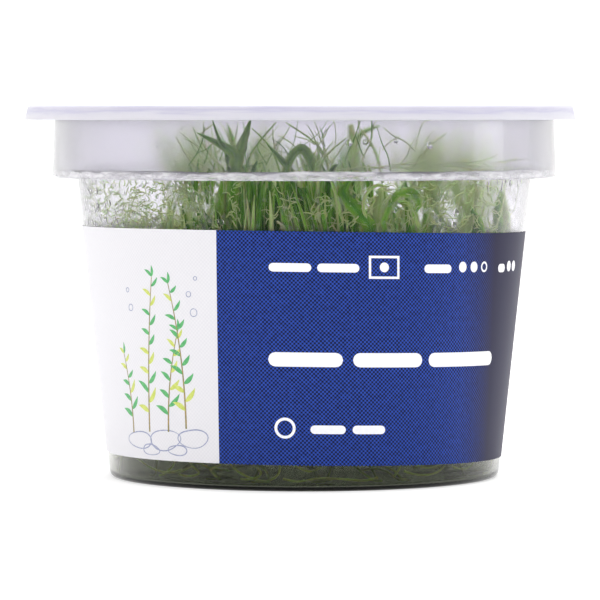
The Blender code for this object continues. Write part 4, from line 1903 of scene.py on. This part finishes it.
@dataclass
class Condensation:
    """Drops on the inside of the wall and neck, spread by a node tree, and the water on the shoulder.

    A row of `beads` is a large bead that stands alone: x, height and width.
    """

    cup: Cup
    foot: float = 43.0
    top: float = 64.0
    height: float = 0.07
    bead_height: float = 0.26
    columns: int = 120
    rows: int = 42
    dry_patches: int = 60
    density: float = 6.0e6
    rim_angle: float = math.radians(45)
    beads: tuple[Point, ...] = (
        (7.6, 60.7, 1.25),
        (10.4, 60.8, 1.05),
        (15.6, 61.0, 0.8),
        (21.4, 60.2, 1.2),
        (26.3, 48.4, 1.3),
        (25.9, 46.3, 1.15),
        (-25.2, 60.0, 0.5),
        (-14.2, 47.0, 0.9),
        (-6.8, 50.9, 0.8),
    )

    def wetness(self, angle: float, z: float, patches: list[Point]) -> float:
        """Tells how thickly the drops lie at a place.

        Args:
            angle: round the cup from the front, in radians.
            z: height.
            patches: angle, height and size of the places that have run dry.

        Returns:
            a share of the fullest cover.
        """
        if self.cup.shoulder - 0.8 < z < self.cup.shoulder + 2.4:
            return 0.0
        if z > self.cup.shoulder:
            return 0.015
        level = 0.8 if angle < math.radians(-22) else 0.2
        if angle > math.radians(20):
            level = 0.4
        if angle > math.radians(43) and z < 53:
            level = 0.08
        for at, height, size in patches:
            near = math.hypot(angle - at, (z - height) / 40) / size
            level *= 1 - 0.7 * math.exp(-near * near)
        return level

    def skin(self, front: bool) -> Object:
        """Makes the inner face of one half, with how wet each part of it is.

        Args:
            front: whether it is the front half.

        Returns:
            the face, linked to the scene.
        """
        shell = Shell()
        wet: list[float] = []
        rng = random.Random(5)
        patches = []
        for _ in range(self.dry_patches):
            patches.append((rng.uniform(-math.pi, math.pi), rng.uniform(44, 62), rng.uniform(0.04, 0.12)))
        for row in range(self.rows + 1):
            z = self.foot + (self.top - self.foot) * row / self.rows
            for k in range(self.columns + 1):
                angle = math.pi * (k / self.columns - 0.5) + (0.0 if front else math.pi)
                shell.verts.append(around(self.cup.inside(z), angle, z))
                wet.append(self.wetness(angle, z, patches))
        for row in range(self.rows):
            for k in range(self.columns):
                a, b = row * (self.columns + 1) + k, (row + 1) * (self.columns + 1) + k
                shell.faces.append((a, b, b + 1, a + 1))
        mesh = shell.mesh("inner_skin")
        mesh.attributes.new("wet", "FLOAT", "POINT").data.foreach_set("value", wet)
        return link("inner_skin", mesh)

    def dome(self, place: Matrix, shape: tuple[float, float, int, float], shell: Shell) -> None:
        """Adds a drop that bulges along its own +Z from a flat foot.

        Args:
            place: where it lies and how large it is.
            shape: its length over its width, how far its ends curl to one side in widths, its corners, and
                how far it bulges in widths.
            shell: what it joins.
        """
        stretch, bend, sides, height = shape
        rings = []
        for size, rise in ((0.5, -0.03), (0.5, 0.0), (0.3, height * 0.72)):
            section = []
            for k in range(sides):
                turn = math.tau * k / sides
                x, y = size * stretch * math.cos(turn), size * math.sin(turn)
                section.append(place @ Vector((x, y + bend * (x / stretch) ** 2 * 4, rise)))
            rings.append(shell.ring(section))
        top = shell.ring([place @ Vector((0, 0, height))])
        shell.faces.append(tuple(rings[0] + k for k in reversed(range(sides))))
        shell.bridge(rings, sides, capped=False)
        shell.faces += [(rings[-1] + k, rings[-1] + (k + 1) % sides, top) for k in range(sides)]

    def shapes(self) -> bpy.types.Collection:
        """Makes the drops to choose from: round, oval and run together.

        Returns:
            a collection of their objects.
        """
        found = bpy.data.collections.new("drop_shapes")
        kinds = {"a_round": (1.0, 0.0, 7), "b_oval": (1.35, 0.0, 7), "c_run": (2.3, 0.32, 8)}
        for name, kind in kinds.items():
            shell = Shell()
            self.dome(Matrix.Identity(4), (*kind, self.height), shell)
            mesh = shell.mesh(name, 1.0)
            mesh.shade_smooth()
            mesh.set_sharp_from_angle(angle=self.rim_angle)
            found.objects.link(bpy.data.objects.new(name, mesh))
        return found

    def tree(self) -> Tree:
        """Makes the tree that spreads the drops.

        Returns:
            the node tree.
        """
        inputs = {"Skin": "Geometry", "Drops": "Collection"}
        inputs |= dict.fromkeys(("Closest", "Density", "Smallest", "Largest"), "Float")
        inputs |= {"Seed": "Int", "Finish": "Material"}
        tree, given = new_tree("spread_drops", inputs, "Wet skin")
        wet = add(tree, "GeometryNodeInputNamedAttribute", {"Name": "wet"}, data_type="FLOAT")
        scatter = {
            "Mesh": given["Skin"],
            "Distance Min": given["Closest"],
            "Density Max": given["Density"],
            "Density Factor": wet,
            "Seed": given["Seed"],
        }
        points = add(tree, "GeometryNodeDistributePointsOnFaces", scatter, distribute_method="POISSON")
        spread = points.node.outputs
        draw = {2: 0.0, 3: 1.0, "Seed": given["Seed"]}
        chance = add(tree, CHANCE, draw, data_type="FLOAT", out=1)
        few = add(tree, MATH, (chance, 2.4), operation="POWER")
        share = add(tree, RANGE, (wet, 0.0, 0.3, 0.35, 1.0))
        most = add(tree, MATH, (given["Largest"], share), operation="MULTIPLY")
        size = add(tree, RANGE, (few, 0.0, 1.0, given["Smallest"], most))
        kind = add(tree, CHANCE, {4: 0, 5: 2, "Seed": 8}, data_type="INT", out=2)
        spin = add(tree, CHANCE, {2: 0.0, 3: math.tau, "Seed": 3}, data_type="FLOAT", out=1)
        about = add(tree, "ShaderNodeCombineXYZ", {"Z": spin})
        spun = {"Rotation": spread["Rotation"], "Rotate By": about}
        apart = {"Collection": given["Drops"], "Separate Children": True, "Reset Children": True}
        placing = {
            "Points": spread["Points"],
            "Instance": add(tree, "GeometryNodeCollectionInfo", apart),
            "Pick Instance": True,
            "Instance Index": kind,
            "Rotation": add(tree, "FunctionNodeRotateRotation", spun, rotation_space="LOCAL"),
            "Scale": size,
        }
        placed = add(tree, "GeometryNodeInstanceOnPoints", placing)
        real = add(tree, "GeometryNodeRealizeInstances", (placed,))
        dressed = add(tree, DRESS, {"Geometry": real, "Material": given["Finish"]})
        add(tree, "NodeGroupOutput", {"Wet skin": dressed})
        return tree

    def spread(self, water: Material) -> None:
        """Builds the drops as one plain mesh in front and one behind.

        Args:
            water: their material.
        """
        tree = self.tree()
        shapes = self.shapes()
        for name, front, closest, smallest, largest in (
            ("front_condensation", True, 0.65, 0.35, 1.35),
            ("back_condensation", False, 1.1, 0.6, 1.8),
        ):
            values = {"Drops": shapes, "Density": self.density, "Seed": 4, "Finish": water}
            values |= {"Closest": closest * MM, "Smallest": smallest * MM, "Largest": largest * MM}
            finish_piece(grown(self.skin(front), tree, values, name))
        discard(shapes)

    def large_beads(self, water: Material) -> None:
        """Builds the few large beads that stand alone on the neck and the window.

        Args:
            water: their material.
        """
        shell = Shell()
        for x, z, size in self.beads:
            radius = self.cup.inside(z)
            spot = Vector((x, -math.sqrt(radius * radius - x * x), z))
            inward = Vector((-spot.x, -spot.y, 0.0)).normalized()
            place = Matrix.LocRotScale(spot, inward.to_track_quat("Z", "Y"), Vector((size, size, size)))
            self.dome(place, (1.0, 0.0, 20, self.bead_height), shell)
        large = shell.piece("large_beads", [water])
        large.data.set_sharp_from_angle(angle=self.rim_angle)
        finish_piece(large)

    def shoulder_water(self) -> None:
        """Builds the uneven ring of water that lies on the shoulder inside the neck."""
        steps = 240
        top = self.cup.shoulder + self.cup.shelf
        neck = self.cup.neck_radius - self.cup.wall
        rng = random.Random(9)
        waves = [(rng.randint(3, 26), rng.uniform(0, math.tau), rng.uniform(0.2, 1.0)) for _ in range(9)]
        shell = Shell()
        for k in range(steps):
            angle = math.tau * k / steps
            swell = sum(size * math.sin(rate * angle + phase) for rate, phase, size in waves) / 3
            reach = 1.25 + 0.45 * math.tanh(swell)
            height = 0.22 + 0.14 * math.tanh(swell * 1.3 + 0.4)
            section = (
                (neck + 0.05, top - 0.05),
                (neck + 0.05, top + height),
                (neck - reach * 0.3, top + height * 0.86),
                (neck - reach * 0.75, top + height * 0.5),
                (neck - reach, top - 0.02),
                (neck - reach * 0.9, top - 0.05),
            )
            shell.ring([around(r, angle, z) for r, z in section])
        sides = len(section)
        for k in range(steps):
            a, b = k * sides, (k + 1) % steps * sides
            for side in range(sides):
                n = (side + 1) % sides
                shell.faces.append((a + side, b + side, b + n, a + n))
        # A film of water broken up by beads, made whitish and part diffuse as painted glints along the
        # ledge's top edge, with blurred light in it.
        film = Fluid("beaded_water_film", "#f6f6fc", roughness=0.12, transmission=0.6).material()
        finish_piece(shell.piece("shoulder_water", [film]))

    def build(self) -> None:
        """Builds the drops and the water on the shoulder."""
        # Clear drops, each with a dark rim and a bright point.
        water = Fluid("condensed_water", "#ffffff").material()
        self.spread(water)
        self.large_beads(water)
        self.shoulder_water()


@dataclass
class Studio:
    """Pale floor with a curved backdrop, soft lights and the camera."""

    distance: float = 770.0
    eye_height: float = 66.0
    focal_px: float = 4240.0
    horizon_px: float = 112.0
    axis_px: float = 304.2
    frame_px: float = 600.0
    sensor: float = 36.0
    floor_drop: float = 0.02
    floor_front: float = -1600.0
    floor_back: float = 1250.0
    bend_radius: float = 450.0
    bend_steps: int = 12
    backdrop_top: float = 3400.0
    half_width: float = 3700.0
    backdrop_glow: float = 0.58
    backdrop_end_glow: float = 0.6
    backdrop_half_width: float = 250.0

    def floor(self) -> None:
        """Builds the floor and its backdrop as one sheet."""
        line = [(self.floor_front, 0.0), (self.floor_back, 0.0)]
        for k in range(1, self.bend_steps + 1):
            turn = math.pi / 2 * k / self.bend_steps
            rise = self.bend_radius - self.bend_radius * math.cos(turn)
            line.append((self.floor_back + self.bend_radius * math.sin(turn), rise))
        line.append((self.floor_back + self.bend_radius, self.backdrop_top))
        sheet = Shell()
        edges = (-self.half_width, self.half_width)
        sheet.ring([(x, y, z - self.floor_drop) for y, z in line for x in edges])
        sheet.faces = [(2 * k, 2 * k + 1, 2 * k + 3, 2 * k + 2) for k in range(len(line) - 1)]
        mesh = sheet.mesh("studio_floor")
        mesh.shade_smooth()
        mesh.materials.append(self.paper())
        link("studio_floor", mesh)

    def paper(self) -> Material:
        """Makes the white paper, which glows a little so that it reads as plain white.

        Returns:
            the material.
        """
        white = {"Base Color": linear("#c3c3c3"), "Roughness": 0.9, "Emission Color": linear("#ffffff")}
        material, tree, shader = new_finish("white_backdrop_paper", white)
        place = add(tree, "ShaderNodeTexCoord", out="Object")
        across = add(tree, SPLIT, (place,), out="X")
        away = add(tree, MATH, (across,), operation="ABSOLUTE")
        near = self.backdrop_half_width * MM
        spread = (away, near, 2.2 * near)
        glow = add(tree, RANGE, (*spread, self.backdrop_glow, self.backdrop_end_glow))
        tree.links.new(glow, shader.inputs["Emission Strength"])
        return material

    def lamp(self, name: str, place: Point, size: float, power: float, colour: str) -> None:
        """Adds a square soft light that faces the cup.

        Args:
            name: the light's name.
            place: where it stands, in metres.
            size: its side, in metres.
            power: its power in watts.
            colour: its hex colour.
        """
        data = bpy.data.lights.new(name, "AREA")
        data.shape = "SQUARE"
        data.size = size
        data.energy = power
        data.color = linear(colour)[:3]
        obj = link(name, data)
        obj.location = place
        obj.rotation_euler = (Vector((0, 0, 0.035)) - Vector(place)).to_track_quat("-Z", "Y").to_euler()

    def camera(self) -> None:
        """Sets the camera at the height of the lid's brim, looking slightly down."""
        data = bpy.data.cameras.new("camera")
        data.sensor_width = self.sensor
        data.lens = self.focal_px * self.sensor / self.frame_px
        data.clip_start = 0.01
        half = self.frame_px / 2
        pitch = math.atan((half - self.horizon_px) / self.focal_px)
        yaw = math.atan((self.axis_px - half) / self.focal_px)
        obj = link("camera", data)
        obj.location = (0.0, -self.distance * MM, self.eye_height * MM)
        obj.rotation_euler = (math.pi / 2 - pitch, 0.0, yaw)
        bpy.context.scene.camera = obj

    def room(self) -> bpy.types.World:
        """Makes the white room, which is brighter behind the cup than behind the camera.

        Returns:
            the world.
        """
        world = bpy.data.worlds.new("studio_white")
        world.use_nodes = True
        tree = world.node_tree
        way = add(tree, "ShaderNodeTexCoord", out="Generated")
        split = add(tree, SPLIT, (way,)).node.outputs
        depth = add(tree, RANGE, (split["Y"], -0.9, 0.4, 0.5, 1.05))
        away = add(tree, MATH, (split["X"],), operation="ABSOLUTE")
        side = add(tree, RANGE, (away, 0.2, 0.95, 1.0, 0.9))
        level = add(tree, MATH, (depth, side), operation="MULTIPLY")
        background = tree.nodes["Background"]
        background.inputs["Color"].default_value = linear("#ffffff")
        tree.links.new(level, background.inputs["Strength"])
        return world

    def build(self) -> None:
        """Builds the stage."""
        scene = bpy.context.scene
        self.floor()
        scene.world = self.room()
        self.lamp("key_softbox", (-0.75, -0.75, 0.75), 0.9, 3.0, "#fffaf4")
        self.lamp("top_softbox", (0.1, 0.1, 1.1), 1.0, 14.0, "#ffffff")
        self.lamp("side_strip", (0.9, 0.02, 0.2), 0.3, 0.8, "#ffffff")
        self.camera()
        scene.view_settings.view_transform = "Standard"
        scene.view_settings.look = "None"


def main() -> None:
    """Builds the pieces in order."""
    logging.basicConfig(level=logging.INFO, format="%(message)s")
    cup = Cup()
    label = Label(cup)
    inside = (Gel(cup), Planting(cup), Roots(cup), Condensation(cup))
    for part in (Studio(), cup, Lid(), label, Artwork(label), *inside):
        part.build()


if __name__ == "__main__":
    main()
